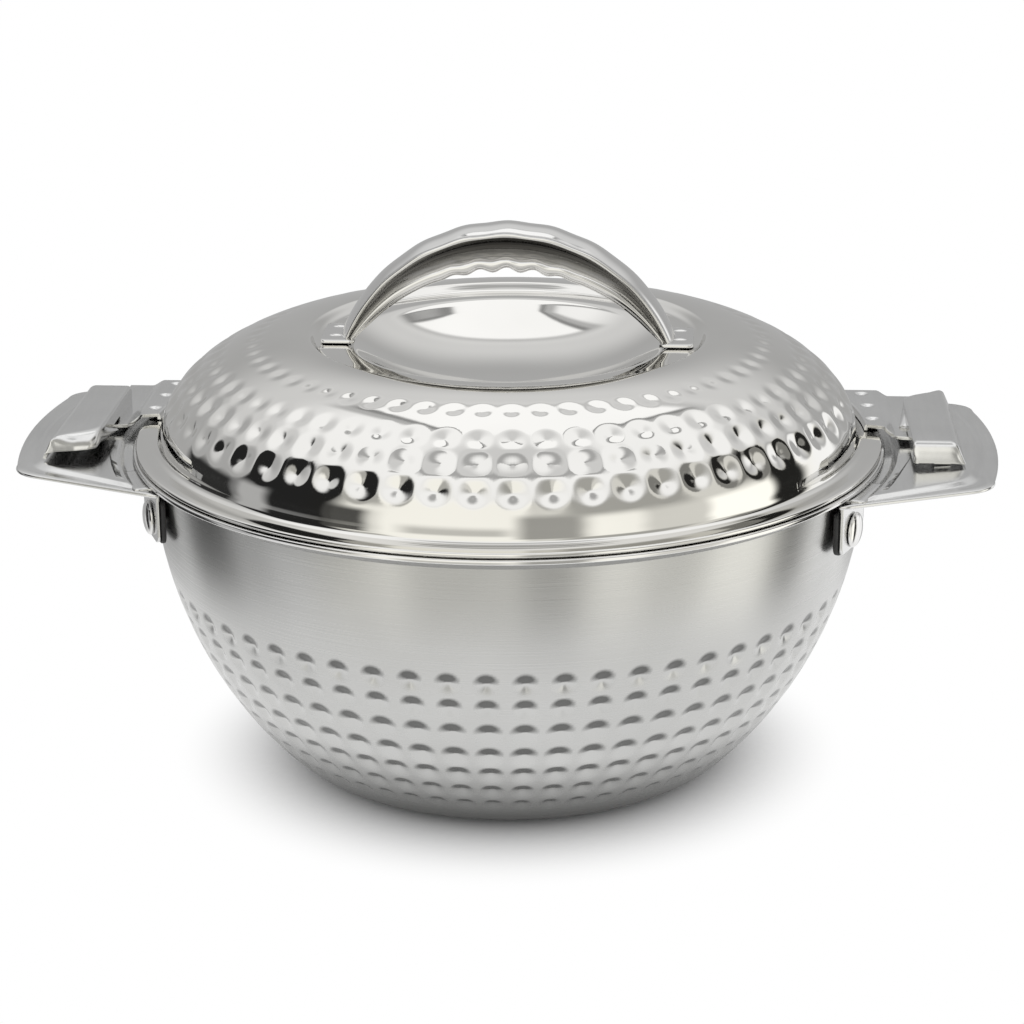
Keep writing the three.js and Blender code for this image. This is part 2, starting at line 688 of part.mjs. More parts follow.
function rivetWasher(angle) {
  const washer = radialPin(WASHER_RADIUS, WASHER_INNER, WASHER_OUTER, angle, RIVET_HEIGHT);
  return cut(washer, rivetHole(angle));
}

// Side view of the strap: the flat over the flange, the joggle, and the lower flat.
function strapSide(inside) {
  const underFlat = STRAP_TOP - STRAP_SHEET;
  const joggleEnd = STRAP_JOGGLE_START + STRAP_JOGGLE_RUN;
  const skew = STRAP_SHEET / 4;
  return new THREE.Shape([
    point(inside, underFlat),
    point(STRAP_JOGGLE_START - skew, underFlat),
    point(joggleEnd - skew, TONGUE_UNDER),
    point(TONGUE_END, TONGUE_UNDER),
    point(TONGUE_END, TONGUE_TOP),
    point(joggleEnd + skew, TONGUE_TOP),
    point(STRAP_JOGGLE_START + skew, STRAP_TOP),
    point(inside, STRAP_TOP),
  ]);
}

// Where the strap's shoulder enters the cap: its part of the neck that lies inside the cap.
function shoulderSpan(towards) {
  const from = towards > 0 ? -STRAP_FLARE : -STRAP_LENGTH;
  const to = towards > 0 ? STRAP_LENGTH : STRAP_FLARE;
  const inset = CAP_SHEET + CAP_WINDOW_MARGIN + SEAT_GAP;
  return [Math.max(from, CAP_FRONT + inset), Math.min(to, CAP_BACK - inset)];
}

// Lid strap on the +X side. Its neck runs from the middle towards +Y, or towards -Y when mirrored,
// and the tongue keeps its place, so that both straps turn under their keepers the same way.
function lidStrap(towards) {
  const inside = DOME_FOOT_RADIUS - STRAP_LENGTH;
  const reach = STRAP_LENGTH + CUT_OVERRUN;
  const bottom = TONGUE_UNDER - CUT_OVERRUN;
  const top = STRAP_TOP + CUT_OVERRUN;
  const joggleEnd = STRAP_JOGGLE_START + STRAP_JOGGLE_RUN;
  const flare = -towards * STRAP_FLARE;
  const far = towards * STRAP_LENGTH;
  const neck = new THREE.Shape([
    point(inside, 0),
    point(STRAP_JOGGLE_START, 0),
    point(joggleEnd, flare),
    point(joggleEnd + SEAT_GAP, flare),
    point(joggleEnd + SEAT_GAP, far),
    point(inside, far),
  ]);
  const [from, to] = shoulderSpan(towards);
  const tongueInner = CAP_INNER + CAP_SHEET + SEAT_GAP;
  const plan = join(
    slab(neck, bottom, top),
    box(joggleEnd, STRAP_NECK_END, from, to, bottom, top),
    box(tongueInner, TONGUE_END, -TONGUE_FRONT, TONGUE_LENGTH - TONGUE_FRONT, bottom, top),
  );
  const plate = meet(upright(strapSide(inside), -reach, reach), plan);
  const leaf = meet(strapLeaf(), slab(neck, bottom, top));
  const domeFoot = turned([
    point(0, bottom),
    point(STRAP_INNER_RADIUS, bottom),
    point(STRAP_INNER_RADIUS, top),
    point(0, top),
  ]);
  return join(cut(plate, domeFoot), leaf, ...weldPips(towards));
}

// Ring round the foot of the dome, of which each strap has the part that is its turned-down edge.
function strapLeaf() {
  const under = LID_FLANGE_TOP + SEAT_GAP;
  const outer = STRAP_INNER_RADIUS + STRAP_LEAF;
  const corners = [
    point(STRAP_INNER_RADIUS, under),
    point(outer, under),
    point(outer, STRAP_TOP),
    point(STRAP_INNER_RADIUS, STRAP_TOP),
  ];
  return turned([...corners, corners[0]]);
}

// Pips pressed down from the strap where it is spot-welded to the flange.
function weldPips(towards) {
  return WELD_SHARES.map((share) => {
    const y = towards * STRAP_LENGTH * share;
    const x = Math.sqrt(WELD_ORBIT * WELD_ORBIT - y * y);
    const bottom = LID_FLANGE_TOP + SEAT_GAP;
    const top = STRAP_TOP - STRAP_SHEET / 2;
    const pip = new THREE.CylinderGeometry(WELD_RADIUS, WELD_RADIUS / 2, top - bottom, SMALL_STEPS / 2);
    pip.rotateX(Math.PI / 2);
    pip.translate(x, y, (bottom + top) / 2);
    return pip;
  });
}

// Cross-section of the lock cap: upright inner wall, flat top, and an outer wall that leans out.
function capSection(inset, bottom) {
  const lean = (CAP_FOOT_OUTER - CAP_TOP_OUTER) / CAP_HEIGHT;
  const foot = CAP_TOP_OUTER + (CAP_TOP - bottom) * lean;
  return new THREE.Shape([
    point(CAP_INNER + inset, bottom),
    point(foot - inset, bottom),
    point(CAP_TOP_OUTER + inset * lean - inset, CAP_TOP - inset),
    point(CAP_INNER + inset, CAP_TOP - inset),
  ]);
}

// Plan of the cap with its two outer corners rounded.
function capPlan() {
  const plan = new THREE.Shape();
  plan.moveTo(CAP_INNER, CAP_FRONT);
  plan.lineTo(CAP_FOOT_OUTER - CAP_CORNER, CAP_FRONT);
  plan.quadraticCurveTo(CAP_FOOT_OUTER, CAP_FRONT, CAP_FOOT_OUTER, CAP_FRONT + CAP_CORNER);
  plan.lineTo(CAP_FOOT_OUTER, CAP_BACK - CAP_CORNER);
  plan.quadraticCurveTo(CAP_FOOT_OUTER, CAP_BACK, CAP_FOOT_OUTER - CAP_CORNER, CAP_BACK);
  plan.lineTo(CAP_INNER, CAP_BACK);
  return plan;
}

// Lock cap on the +X side, closed towards -Y and open below its top band towards +Y.
// A window in its inner wall sits over the strap's shoulder.
function lockCap(towards) {
  const block = upright(capSection(0, CAP_UNDER), CAP_FRONT, CAP_BACK);
  const outer = meet(block, slab(capPlan(), CAP_UNDER - CUT_OVERRUN, CAP_TOP + CUT_OVERRUN));
  const under = CAP_UNDER - CUT_OVERRUN;
  const hollow = upright(capSection(CAP_SHEET, under), CAP_FRONT + CAP_SHEET, CAP_BACK - CAP_SHEET);
  const [from, to] = shoulderSpan(towards);
  const window = box(
    CAP_INNER - CUT_OVERRUN,
    CAP_INNER + CAP_SHEET + SEAT_GAP,
    from - CAP_WINDOW_MARGIN,
    to + CAP_WINDOW_MARGIN,
    under,
    TONGUE_TOP + SEAT_GAP,
  );
  const openEnd = box(
    CAP_INNER - CUT_OVERRUN,
    CAP_FOOT_OUTER + CUT_OVERRUN,
    CAP_BACK - CAP_OPEN_LENGTH,
    CAP_BACK + CUT_OVERRUN,
    under,
    CAP_TOP - CAP_OPEN_BAND,
  );
  return cut(outer, hollow, window, openEnd);
}

// Keeper welded on the handle's panel: foot, post, and a lip over the path of the tongue.
function keeper() {
  const lipUnder = TONGUE_TOP + SEAT_GAP;
  const lipTop = lipUnder + KEEPER_SHEET;
  const seat = panelTop(KEEPER_INNER + KEEPER_WIDTH) + SEAT_GAP;
  const postOut = -KEEPER_FACE - KEEPER_SHEET;
  const outline = new THREE.Shape([
    point(postOut - KEEPER_FOOT, seat),
    point(-KEEPER_FACE, seat),
    point(-KEEPER_FACE, lipUnder),
    point(-KEEPER_FACE + KEEPER_LIP, lipUnder),
    point(-KEEPER_FACE + KEEPER_LIP, lipTop),
    point(postOut, lipTop),
    point(postOut, seat + KEEPER_SHEET / 2),
    point(postOut - KEEPER_FOOT, seat + KEEPER_SHEET / 2),
  ]);
  const geometry = upright(outline, -KEEPER_WIDTH, 0);
  geometry.rotateZ(Math.PI / 2);
  geometry.translate(KEEPER_INNER, 0, 0);
  return geometry;
}

// Points of an arc above a base height, from -X to +X, with a ripple added to its height.
function archPoints(halfSpan, rise, base, steps, ripple = () => 0) {
  const radius = archRadius(halfSpan, rise);
  const sweep = 2 * Math.atan2(rise, halfSpan);
  const points = [];
  for (let i = 0; i <= steps; i += 1) {
    const angle = sweep * ((2 * i) / steps - 1);
    const x = radius * Math.sin(angle);
    const z = base + rise - radius * (1 - Math.cos(angle));
    points.push(point(x, z + ripple(x)));
  }
  return points;
}

function archRadius(halfSpan, rise) {
  return (halfSpan * halfSpan + rise * rise) / (2 * rise);
}

// Finger scallops under the grip: waves that fade out towards the legs of the arch.
function scallops(x) {
  const fade = Math.max(0, 1 - (x / SCALLOP_REACH) ** 2);
  return SCALLOP_HEIGHT * fade * Math.cos((2 * Math.PI * x) / SCALLOP_PITCH);
}

// Crowned grip of the arch: a curved strip turned about the arch's own middle, above the base.
function archGrip(base) {
  const radius = archRadius(ARCH_HALF_SPAN, ARCH_RISE);
  const half = ARCH_WIDTH / 2;
  const crown = [];
  for (let i = 0; i <= ARCH_CROWN_STEPS; i += 1) {
    const share = (2 * i) / ARCH_CROWN_STEPS - 1;
    crown.push(point(radius + ARCH_CROWN * (1 - share * share), half * share));
  }
  const under = crown.map((place) => point(place.x - ARCH_SHEET, place.y)).reverse();
  const ring = new THREE.LatheGeometry([...crown, ...under, crown[0]], ARCH_RING_STEPS);
  ring.translate(0, 0, base + ARCH_RISE - radius);
  const reach = radius + ARCH_CROWN + CUT_OVERRUN;
  return meet(ring, box(-reach, reach, -half, half, base, base + reach));
}

// A wall of the arch on one side, with the thicker scalloped bead along its lower edge.
function archWall(base, side) {
  const wallOut = ARCH_WIDTH / 2 - ARCH_RECESS;
  const wallIn = wallOut - ARCH_SHEET;
  const lap = ARCH_SHEET / 3;
  const top = archPoints(ARCH_HALF_SPAN + lap, ARCH_RISE + lap, base, ARCH_STEPS);
  const edge = archPoints(ARCH_UNDER_HALF_SPAN, ARCH_UNDER_RISE, base, SCALLOP_STEPS, scallops);
  const beadTop = archPoints(
    ARCH_UNDER_HALF_SPAN + ARCH_BEAD_LAP,
    ARCH_UNDER_RISE + ARCH_BEAD_HEIGHT,
    base,
    SCALLOP_STEPS,
    scallops,
  );
  const face = new THREE.Shape([...top, ...edge.reverse()]);
  const bead = new THREE.Shape([...beadTop, ...edge]);
  const wallEdges = side > 0 ? [wallIn, wallOut] : [-wallOut, -wallIn];
  const beadEdges = side > 0 ? [wallIn, wallOut + ARCH_BEAD_OUT] : [-wallOut - ARCH_BEAD_OUT, -wallIn];
  return join(upright(face, ...wallEdges), upright(bead, ...beadEdges));
}

function topHandle() {
  const base = LEDGE_TOP + SEAT_GAP;
  const half = FOOT_TAB_WIDTH / 2;
  const tabs = [
    box(FOOT_TAB_INNER, FOOT_TAB_OUTER, -half, half, base, base + ARCH_SHEET),
    box(-FOOT_TAB_OUTER, -FOOT_TAB_INNER, -half, half, base, base + ARCH_SHEET),
  ];
  return join(archGrip(base), archWall(base, 1), archWall(base, -1), ...tabs);
}

// Materials, one for each finish.
function finish(color, roughness, metalness) {
  return new THREE.MeshStandardMaterial({ color, roughness, metalness });
}

const satinSteel = () => finish("#b9bab8", 0.34, 1);
const mirrorSteel = () => finish("#d6d5cf", 0.08, 1);
const handleSteel = () => finish("#c4c4c2", 0.22, 1);
const foam = () => finish("#e8d9a8", 0.9, 0);
const silicone = () => finish("#d9d9d6", 0.6, 0);
const darkRubber = () => finish("#1b1b1b", 0.7, 0);

const casserole = new THREE.Group();

function add(name, geometry, material, turn = 0) {
  const mesh = new THREE.Mesh(geometry, material);
  mesh.name = name;
  mesh.rotation.z = turn;
  casserole.add(mesh);
}

add("outer_shell", outerShell(), satinSteel());
add("inner_liner", innerLiner(), mirrorSteel());
add("rim_ring", rimRing(), mirrorSteel());
add("bowl_insulation", bowlInsulation(), foam());
add("base_plate", basePlate(), satinSteel());
add("lid_shell", lidShell(), mirrorSteel());
add("lid_pan", lidPan(), mirrorSteel());
add("lid_insulation", lidInsulation(), foam());
add("seal_ring", sealRing(), silicone());
add("top_handle", topHandle(), mirrorSteel());

// Both sides carry the same pieces, turned half round, apart from the straps' necks.
const sides = [
  { name: "right", turn: 0, towards: 1 },
  { name: "left", turn: Math.PI, towards: -1 },
];
for (const side of sides) {
  add(`side_handle_${side.name}`, sideHandle(), handleSteel(), side.turn);
  add(`lid_strap_${side.name}`, lidStrap(side.towards), handleSteel(), side.turn);
  add(`lock_cap_${side.name}`, lockCap(side.towards), handleSteel(), side.turn);
  add(`keeper_${side.name}`, keeper(), handleSteel(), side.turn);
}

const legNames = ["right_front", "right_back", "left_back", "left_front"];
legNames.forEach((name, i) => {
  const angle = rivetPlaces()[i];
  add(`spacer_pad_${name}`, spacerPad(angle), darkRubber());
  add(`rivet_${name}`, rivet(angle), mirrorSteel());
  add(`rivet_washer_${name}`, rivetWasher(angle), satinSteel());
});

export default casserole;
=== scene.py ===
# %% [markdown]
# # Insulated casserole
# The object is a double-walled steel bowl with two ear handles and a domed lid with an arched grip.
# This first cell loads the solid model as a fixed frame. All later pieces are worked out in the same
# frame: +Z is up, +X points at the right-hand handle and the viewer stands on the -Y side.

# %% Load the frame
import math

import bpy
import numpy as np
from mathutils import Matrix, Vector


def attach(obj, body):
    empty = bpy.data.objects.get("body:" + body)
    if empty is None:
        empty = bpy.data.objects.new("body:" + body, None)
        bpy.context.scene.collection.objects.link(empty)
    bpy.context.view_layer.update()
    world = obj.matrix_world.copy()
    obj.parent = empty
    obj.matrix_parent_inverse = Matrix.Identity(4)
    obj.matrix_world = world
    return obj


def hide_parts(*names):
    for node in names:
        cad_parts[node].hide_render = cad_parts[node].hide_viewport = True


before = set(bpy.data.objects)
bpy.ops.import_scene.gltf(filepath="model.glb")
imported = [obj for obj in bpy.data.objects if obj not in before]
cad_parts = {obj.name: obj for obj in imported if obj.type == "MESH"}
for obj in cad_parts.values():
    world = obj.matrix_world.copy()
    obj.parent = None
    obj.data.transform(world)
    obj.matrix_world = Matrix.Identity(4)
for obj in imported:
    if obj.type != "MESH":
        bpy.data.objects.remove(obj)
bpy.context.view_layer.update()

# %% [markdown]
# The photograph was taken with a long lens from a little above, with the casserole turned a few
# degrees. The camera stands on a circle round the object: its distance, height angle and turn were
# worked out from the ellipses of the rim and the corners of the handles. The image is square.

# %% Camera
LENS_PIXELS, IMAGE_PIXELS, SENSOR_WIDTH = 2800.0, 1024.0, 36.0
CAMERA_DISTANCE = 0.9923
CAMERA_RISE = math.radians(18.65)
CAMERA_TURN = math.radians(3.82)
CAMERA_ROLL = math.radians(-0.23)
CAMERA_AIM = Vector((0.00106, 0.0, 0.0878))

turn = Matrix.Rotation(CAMERA_TURN, 3, "Z")
ahead = turn @ Vector((0.0, math.cos(CAMERA_RISE), -math.sin(CAMERA_RISE)))
level = turn @ Vector((1.0, 0.0, 0.0))
above = level.cross(ahead)
right = level * math.cos(CAMERA_ROLL) + above * math.sin(CAMERA_ROLL)
up = above * math.cos(CAMERA_ROLL) - level * math.sin(CAMERA_ROLL)
camera = bpy.data.objects.new("camera", bpy.data.cameras.new("camera"))
bpy.context.scene.collection.objects.link(camera)
camera.matrix_world = Matrix(
    (
        (right.x, up.x, -ahead.x, 0.0),
        (right.y, up.y, -ahead.y, 0.0),
        (right.z, up.z, -ahead.z, 0.0),
        (0.0, 0.0, 0.0, 1.0),
    )
)
camera.location = turn @ CAMERA_AIM - ahead * CAMERA_DISTANCE
camera.data.sensor_width = SENSOR_WIDTH
camera.data.lens = LENS_PIXELS / IMAGE_PIXELS * SENSOR_WIDTH
camera.data.clip_start = 0.05
camera.data.clip_end = 50.0
bpy.context.scene.camera = camera
print("camera at", tuple(round(c, 4) for c in camera.location))

# %% [markdown]
# Every new piece is a grid of points, worked out as whole arrays in millimetres. It becomes a mesh by
# listing the squares between its points, and a tube of rings is closed by a fan of triangles at each
# end. The sign of the volume tells whether the faces look outwards. Then the object is made, and tied
# to its body and to the solid it stands for. A number painted on each point is for the materials.

# %% Helpers for surfaces
MILLIMETRE = 0.001


def grid_squares(rows, columns, around=True, along=False):
    """Squares between neighbours of a grid: (row, column) to the next column, the next row, back."""
    r = np.arange(rows if along else rows - 1)
    c = np.arange(columns if around else columns - 1)
    r, c = (part.ravel() for part in np.meshgrid(r, c, indexing="ij"))
    r2, c2 = (r + 1) % rows, (c + 1) % columns
    return np.stack([r * columns + c, r * columns + c2, r2 * columns + c2, r2 * columns + c], 1)


def fan(ring, pole, reverse=False):
    """Triangles from a pole point to each pair of neighbours on a closed ring."""
    after = np.roll(ring, -1)
    pair = (after, ring) if reverse else (ring, after)
    return np.stack([np.full(len(ring), pole), *pair], 1)


def capped(grid, poles=None):
    """Points and faces of a tube of rings, closed by a fan at each end. A fan meets in its pole,
    which is the mean of the end ring where none is given."""
    rows, columns = grid.shape[:2]
    poles = [grid[0].mean(0), grid[-1].mean(0)] if poles is None else poles
    count = rows * columns
    first, last = np.arange(columns), np.arange(count - columns, count)
    fans = np.concatenate([fan(first, count, reverse=True), fan(last, count + 1)])
    return np.concatenate([grid.reshape(-1, 3), poles]), [grid_squares(rows, columns), fans]


def facing_out(points, faces):
    """Six times the volume is the sum over triangles of a . (b x c). Where it is negative, the faces
    look inwards, and their corners are listed the other way round."""
    total = 0.0
    for corners in faces:
        for k in range(1, corners.shape[1] - 1):
            a, b, c = (points[corners[:, i]] for i in (0, k, k + 1))
            total += float(np.einsum("ij,ij->i", a, np.cross(b, c)).sum())
    return [corners[:, ::-1] for corners in faces] if total < 0.0 else faces


def new_piece(name, points, faces, body, replaced, closed=True):
    """Mesh object from points in millimetres and arrays of corner numbers, riding on a body."""
    faces = facing_out(points, faces) if closed else faces
    mesh = bpy.data.meshes.new(name)
    sizes = np.concatenate([np.full(len(corners), corners.shape[1]) for corners in faces])
    mesh.vertices.add(len(points))
    mesh.vertices.foreach_set("co", (points * MILLIMETRE).astype(np.float32).ravel())
    mesh.loops.add(int(sizes.sum()))
    mesh.loops.foreach_set("vertex_index", np.concatenate([c.ravel() for c in faces]))
    mesh.polygons.add(len(sizes))
    mesh.polygons.foreach_set("loop_start", np.cumsum(sizes) - sizes)
    mesh.polygons.foreach_set("use_smooth", np.ones(len(sizes), bool))
    mesh.update(calc_edges=True)
    mesh.validate()
    piece = bpy.data.objects.new(name, mesh)
    bpy.context.scene.collection.objects.link(piece)
    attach(piece, body)
    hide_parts(*replaced)
    print(name, "faces", len(sizes), "size mm", np.ptp(points, axis=0).round(1))
    return piece


def painted(piece, name, values):
    """Stores a number for each point of the mesh, and 0 for the points past the last value."""
    numbers = np.zeros(len(piece.data.vertices), np.float32)
    numbers[: values.size] = values.ravel()
    piece.data.attributes.new(name, "FLOAT", "POINT").data.foreach_set("value", numbers)


sample = capped(np.zeros((3, 4, 3)))[1]
print("3 rings of 4 points give", len(sample[0]), "squares and", len(sample[1]), "triangles")

# %% [markdown]
# Spun and pressed sheet is round, so its shape is one profile of radius and height carried round
# the upright axis. The profile runs from the axis out along the outside and back along the inside.
# Smooth bends come from quarter curves with three control points, and a wall gets its inner side by
# moving the outer side along its own normals.

# %% Helpers for profiles
def straight(start, end, steps):
    """Points evenly from start to end, with start left out."""
    share = np.linspace(0.0, 1.0, steps + 1)[1:, None]
    return np.array(start) * (1.0 - share) + np.array(end) * share


def bent(start, corner, end, steps):
    """Quadratic curve (1-t)^2 start + 2t(1-t) corner + t^2 end, with start left out."""
    t = np.linspace(0.0, 1.0, steps + 1)[1:, None]
    a, b, c = np.array(start), np.array(corner), np.array(end)
    return (1.0 - t) ** 2 * a + 2.0 * t * (1.0 - t) * b + t**2 * c


def joined(*parts):
    """One path from single points and whole stretches."""
    return np.concatenate([np.atleast_2d(part) for part in parts])


def normals_of(path):
    """Unit normals of a path: its direction by central differences, turned a quarter to the left."""
    along = np.gradient(path, axis=0)
    along /= np.linalg.norm(along, axis=1, keepdims=True)
    return np.stack([-along[:, 1], along[:, 0]], 1)


def length_along(path):
    """Length of a path from its start to each of its points: the sum of the steps before it."""
    return np.concatenate([[0.0], np.cumsum(np.linalg.norm(np.diff(path, axis=0), axis=1))])


def evenly(path, step):
    """The same path with points a step apart, by interpolation over its length."""
    length = length_along(path)
    places = np.linspace(0.0, length[-1], int(round(length[-1] / step)) + 1)
    return np.stack([np.interp(places, length, path[:, k]) for k in (0, 1)], 1)


def ellipse_side(z, radius, top, drop):
    """Side of a round bowl below its straight top: r = R sqrt(1 - ((top - z) / drop)^2)."""
    z = np.asarray(z, float)
    return np.stack([radius * np.sqrt(1.0 - ((top - z) / drop) ** 2), z], -1)


bend = bent((0.0, 0.0), (1.0, 0.0), (1.0, 1.0), 8)
print("a quarter bend of size 1 is", length_along(joined((0.0, 0.0), bend))[-1].round(2), "long")

# %% [markdown]
# A profile becomes a closed piece by a turn round the axis. Where it starts and ends on the axis it
# needs a pole at each end, and a ring, such as the rim, closes on itself instead. A piece may be
# pressed after it is spun. How deep each point was pressed is painted on it, so that the material can
# treat the dents in their own way.

# %% Helpers for spun pieces
def spun(profile, columns):
    """Each (r, z) of the profile goes round the axis: x = r cos a, y = r sin a, z stays."""
    a = np.linspace(0.0, 2.0 * np.pi, columns, endpoint=False)
    r, z = profile[:, 0, None], profile[:, 1, None]
    return np.stack([r * np.cos(a), r * np.sin(a), z + 0.0 * a], 2)


def poles_of(profile):
    """The profile's two ends, on the axis."""
    return [[0.0, 0.0, profile[0, 1]], [0.0, 0.0, profile[-1, 1]]]


def spun_piece(name, profile, columns, body, replaced, shape=None):
    """Closed round piece. shape may change the grid, which is rows by columns by xyz, and "pressed"
    is the distance in millimetres that it moved each point."""
    has_poles = profile[0, 0] == 0.0
    rows = profile[1:-1] if has_poles else profile
    plain = spun(rows, columns)
    grid = plain if shape is None else shape(plain.copy(), rows)
    if has_poles:
        points, faces = capped(grid, poles_of(profile))
    else:
        points, faces = grid.reshape(-1, 3), [grid_squares(len(rows), columns, along=True)]
    piece = new_piece(name, points, faces, body, replaced)
    painted(piece, "pressed", np.linalg.norm(grid - plain, axis=2))
    return piece


print("a profile of 5 points in 8 columns is a grid of", spun(np.ones((5, 2)), 8).shape)

# %% [markdown]
# The hammered look of the bowl and the lid comes from rows of round dents, pressed in from outside
# at sixty places round. They could be a bump texture, but a mirror shows every edge, so here they
# are real: each point of the surface is moved inwards by the depth of the dent whose middle is
# nearest, and the inner side of the sheet stays smooth.

# %% Helpers for hammered dents
DENT_COUNT = 60
DENT_COLUMNS = 12 * DENT_COUNT
BLUNT_TIP = 0.01


def dented(grid, rows, dents, hardness, turn):
    """Moves points inwards along the profile's normal by depth (1 - sqrt(d^2 + 0.01))^hardness, a
    cone with a blunt tip and a soft edge, where d is the distance to the nearest dent's middle over
    its radius. dents has r, z, radius and depth, and turn is the side angle of one of them."""
    path = length_along(rows)
    inward = -normals_of(rows)
    if inward[len(rows) // 2, 0] > 0.0:
        inward = -inward
    angle = np.arctan2(grid[:, :, 1], grid[:, :, 0]) - turn
    pitch = 2.0 * np.pi / DENT_COUNT
    off = (angle + pitch / 2.0) % pitch - pitch / 2.0
    push = np.zeros(grid.shape[:2])
    for r, z, radius, depth in dents:
        row = np.argmin(np.hypot(rows[:, 0] - r, rows[:, 1] - z))
        d2 = ((path - path[row])[:, None] ** 2 + (r * off) ** 2) / radius**2
        cone = np.clip(1.0 - np.sqrt(d2 + BLUNT_TIP), 0.0, 1.0) ** hardness
        push = np.maximum(push, depth * cone)
    outward = np.stack([np.cos(angle + turn), np.sin(angle + turn)], 2)
    grid[:, :, :2] += push[:, :, None] * inward[:, None, :1] * outward
    grid[:, :, 2] += push * inward[:, None, 1]
    return grid


def hammer(count, turn, *passes):
    """Shape for spun_piece: dents the first count rows, one pass of dents and hardness after the
    other."""

    def shape(grid, rows):
        for dents, hardness in passes:
            grid[:count] = dented(grid[:count], rows[:count], dents, hardness, turn)
        return grid

    return shape


print("dents in a row:", DENT_COUNT, "with", DENT_COLUMNS // DENT_COUNT, "columns each")

# %% [markdown]
# The outer shell of the bowl is an ellipse below its straight top, with a soft foot. Seven rows of
# dents go round it. The rows of the grid are close together only where the dents are. The inner
# side lies a little deeper than the dents, where no one sees it. A number painted on each point marks
# the upper wall of each dent, where the depth grows on the way down; there the material paints shade,
# a darker tone for the shadowed floor that the wall would mirror.

# %% Outer shell of the bowl
WALL_RADIUS, WALL_TOP, BELLY_DROP = 125.0, 113.2, 140.0
SHELL_FLOOR, SHELL_EDGE, SHELL_FLARE, SHELL_WALL = 1.5, 114.6, 1.4, 1.6
DENT_LOW, DENT_HIGH, DENT_ROW_STEP = 8.5, 77.0, 0.86
BOWL_TURN, BOWL_HARDNESS, STEEP = math.radians(0.3), 1.3, 0.2
BOWL_DENTS = [
    (119.0, 69.2, 4.7, 1.45),
    (116.0, 59.2, 4.8, 1.5),
    (112.1, 49.2, 5.3, 1.55),
    (107.2, 39.2, 5.3, 1.55),
    (101.2, 29.8, 5.1, 1.55),
    (94.6, 21.8, 4.9, 1.45),
    (88.4, 15.2, 4.5, 1.2),
]


def belly(z):
    """Points of the outside at heights z."""
    return ellipse_side(z, WALL_RADIUS, WALL_TOP, BELLY_DROP)


outside = joined(
    (40.0, SHELL_FLOOR),
    (64.0, SHELL_FLOOR),
    bent((64.0, SHELL_FLOOR), (75.8, SHELL_FLOOR), belly(SHELL_FLOOR + 6.0), 10),
    evenly(belly(np.linspace(DENT_LOW, DENT_HIGH, 400)), DENT_ROW_STEP)[1:],
    belly([82.0, 88.0, 94.0, 100.0, 106.0, 110.0, 112.2, 112.9, WALL_TOP]),
    bent(belly(WALL_TOP), (WALL_RADIUS, SHELL_EDGE), (WALL_RADIUS + SHELL_FLARE, SHELL_EDGE), 4),
)
inside = outside[::6] + normals_of(outside[::6]) * SHELL_WALL
inside[-1] = (WALL_RADIUS + SHELL_FLARE, SHELL_EDGE + 0.6)
bowl_profile = joined((0.0, SHELL_FLOOR), outside, inside[::-1], (0.0, SHELL_FLOOR + SHELL_WALL))
press_bowl = hammer(len(outside), BOWL_TURN, (BOWL_DENTS, BOWL_HARDNESS))
bowl_skin = spun_piece(
    "bowl_skin", bowl_profile, DENT_COLUMNS, "bowl", ["outer_shell"], press_bowl
)
# Painted shade: the upper wall of each dent, where its depth grows on the way down, is marked here for
# a darker base colour.
depths = np.zeros(len(bowl_skin.data.vertices))
bowl_skin.data.attributes["pressed"].data.foreach_get("value", depths)
growth = np.gradient(depths[:-2].reshape(-1, DENT_COLUMNS), axis=0)
painted(bowl_skin, "dent_shade", np.clip(-growth / STEEP, 0.0, 1.0))

# %% [markdown]
# The liner, the flat rim over the wall's edge, and the disc under the base are plain spun sheet.
# The liner keeps a straight band at the mouth where the seal slides, and turns out in a small lip.
# The rim is one folded section, and it has its own list of corners and small bends.

# %% Liner, rim and base
LINER_FLOOR, MOUTH_RADIUS, BAND_BOTTOM, LINER_DROP = 13.0, 116.0, 104.1, 108.0
RIM_TOP, RIM_RADIUS, SHEET = 116.1, 131.0, 0.6
PLAIN_COLUMNS, RIM_COLUMNS = 192, 256


def liner_side(z):
    """Points of the liner's inner side at heights z."""
    return ellipse_side(z, MOUTH_RADIUS, BAND_BOTTOM, LINER_DROP)


lip = (MOUTH_RADIUS, RIM_TOP - 1.0)
liner_inner = joined(
    (30.0, LINER_FLOOR),
    (54.0, LINER_FLOOR),
    bent((54.0, LINER_FLOOR), (62.7, LINER_FLOOR), liner_side(LINER_FLOOR + 4.0), 8),
    liner_side(np.linspace(LINER_FLOOR + 4.0, BAND_BOTTOM, 30)[1:]),
    straight((MOUTH_RADIUS, BAND_BOTTOM), lip, 4),
    bent(lip, (MOUTH_RADIUS, RIM_TOP), (MOUTH_RADIUS + 1.0, RIM_TOP), 6),
)
liner_outer = liner_inner - normals_of(liner_inner) * SHEET
liner_profile = joined(
    (0.0, LINER_FLOOR), liner_inner, liner_outer[::-1], (0.0, LINER_FLOOR - SHEET)
)
liner_skin = spun_piece(
    "liner_skin", liner_profile, PLAIN_COLUMNS, "bowl", ["inner_liner"]
)

rim_profile = joined(
    (117.3, 115.5),
    (129.6, 115.5),
    bent((129.6, 115.5), (130.0, 115.5), (130.0, 115.1), 2),
    (130.0, 114.7),
    bent((130.0, 114.7), (130.1, 114.5), (130.5, 114.5), 3),
    bent((130.5, 114.5), (RIM_RADIUS, 114.5), (RIM_RADIUS, 114.9), 3),
    (RIM_RADIUS, 115.4),
    bent((RIM_RADIUS, 115.4), (RIM_RADIUS, RIM_TOP), (130.2, RIM_TOP), 4),
    (117.3, RIM_TOP),
)
rim_band = spun_piece(
    "rim_band", rim_profile, RIM_COLUMNS, "bowl", ["rim_ring"]
)

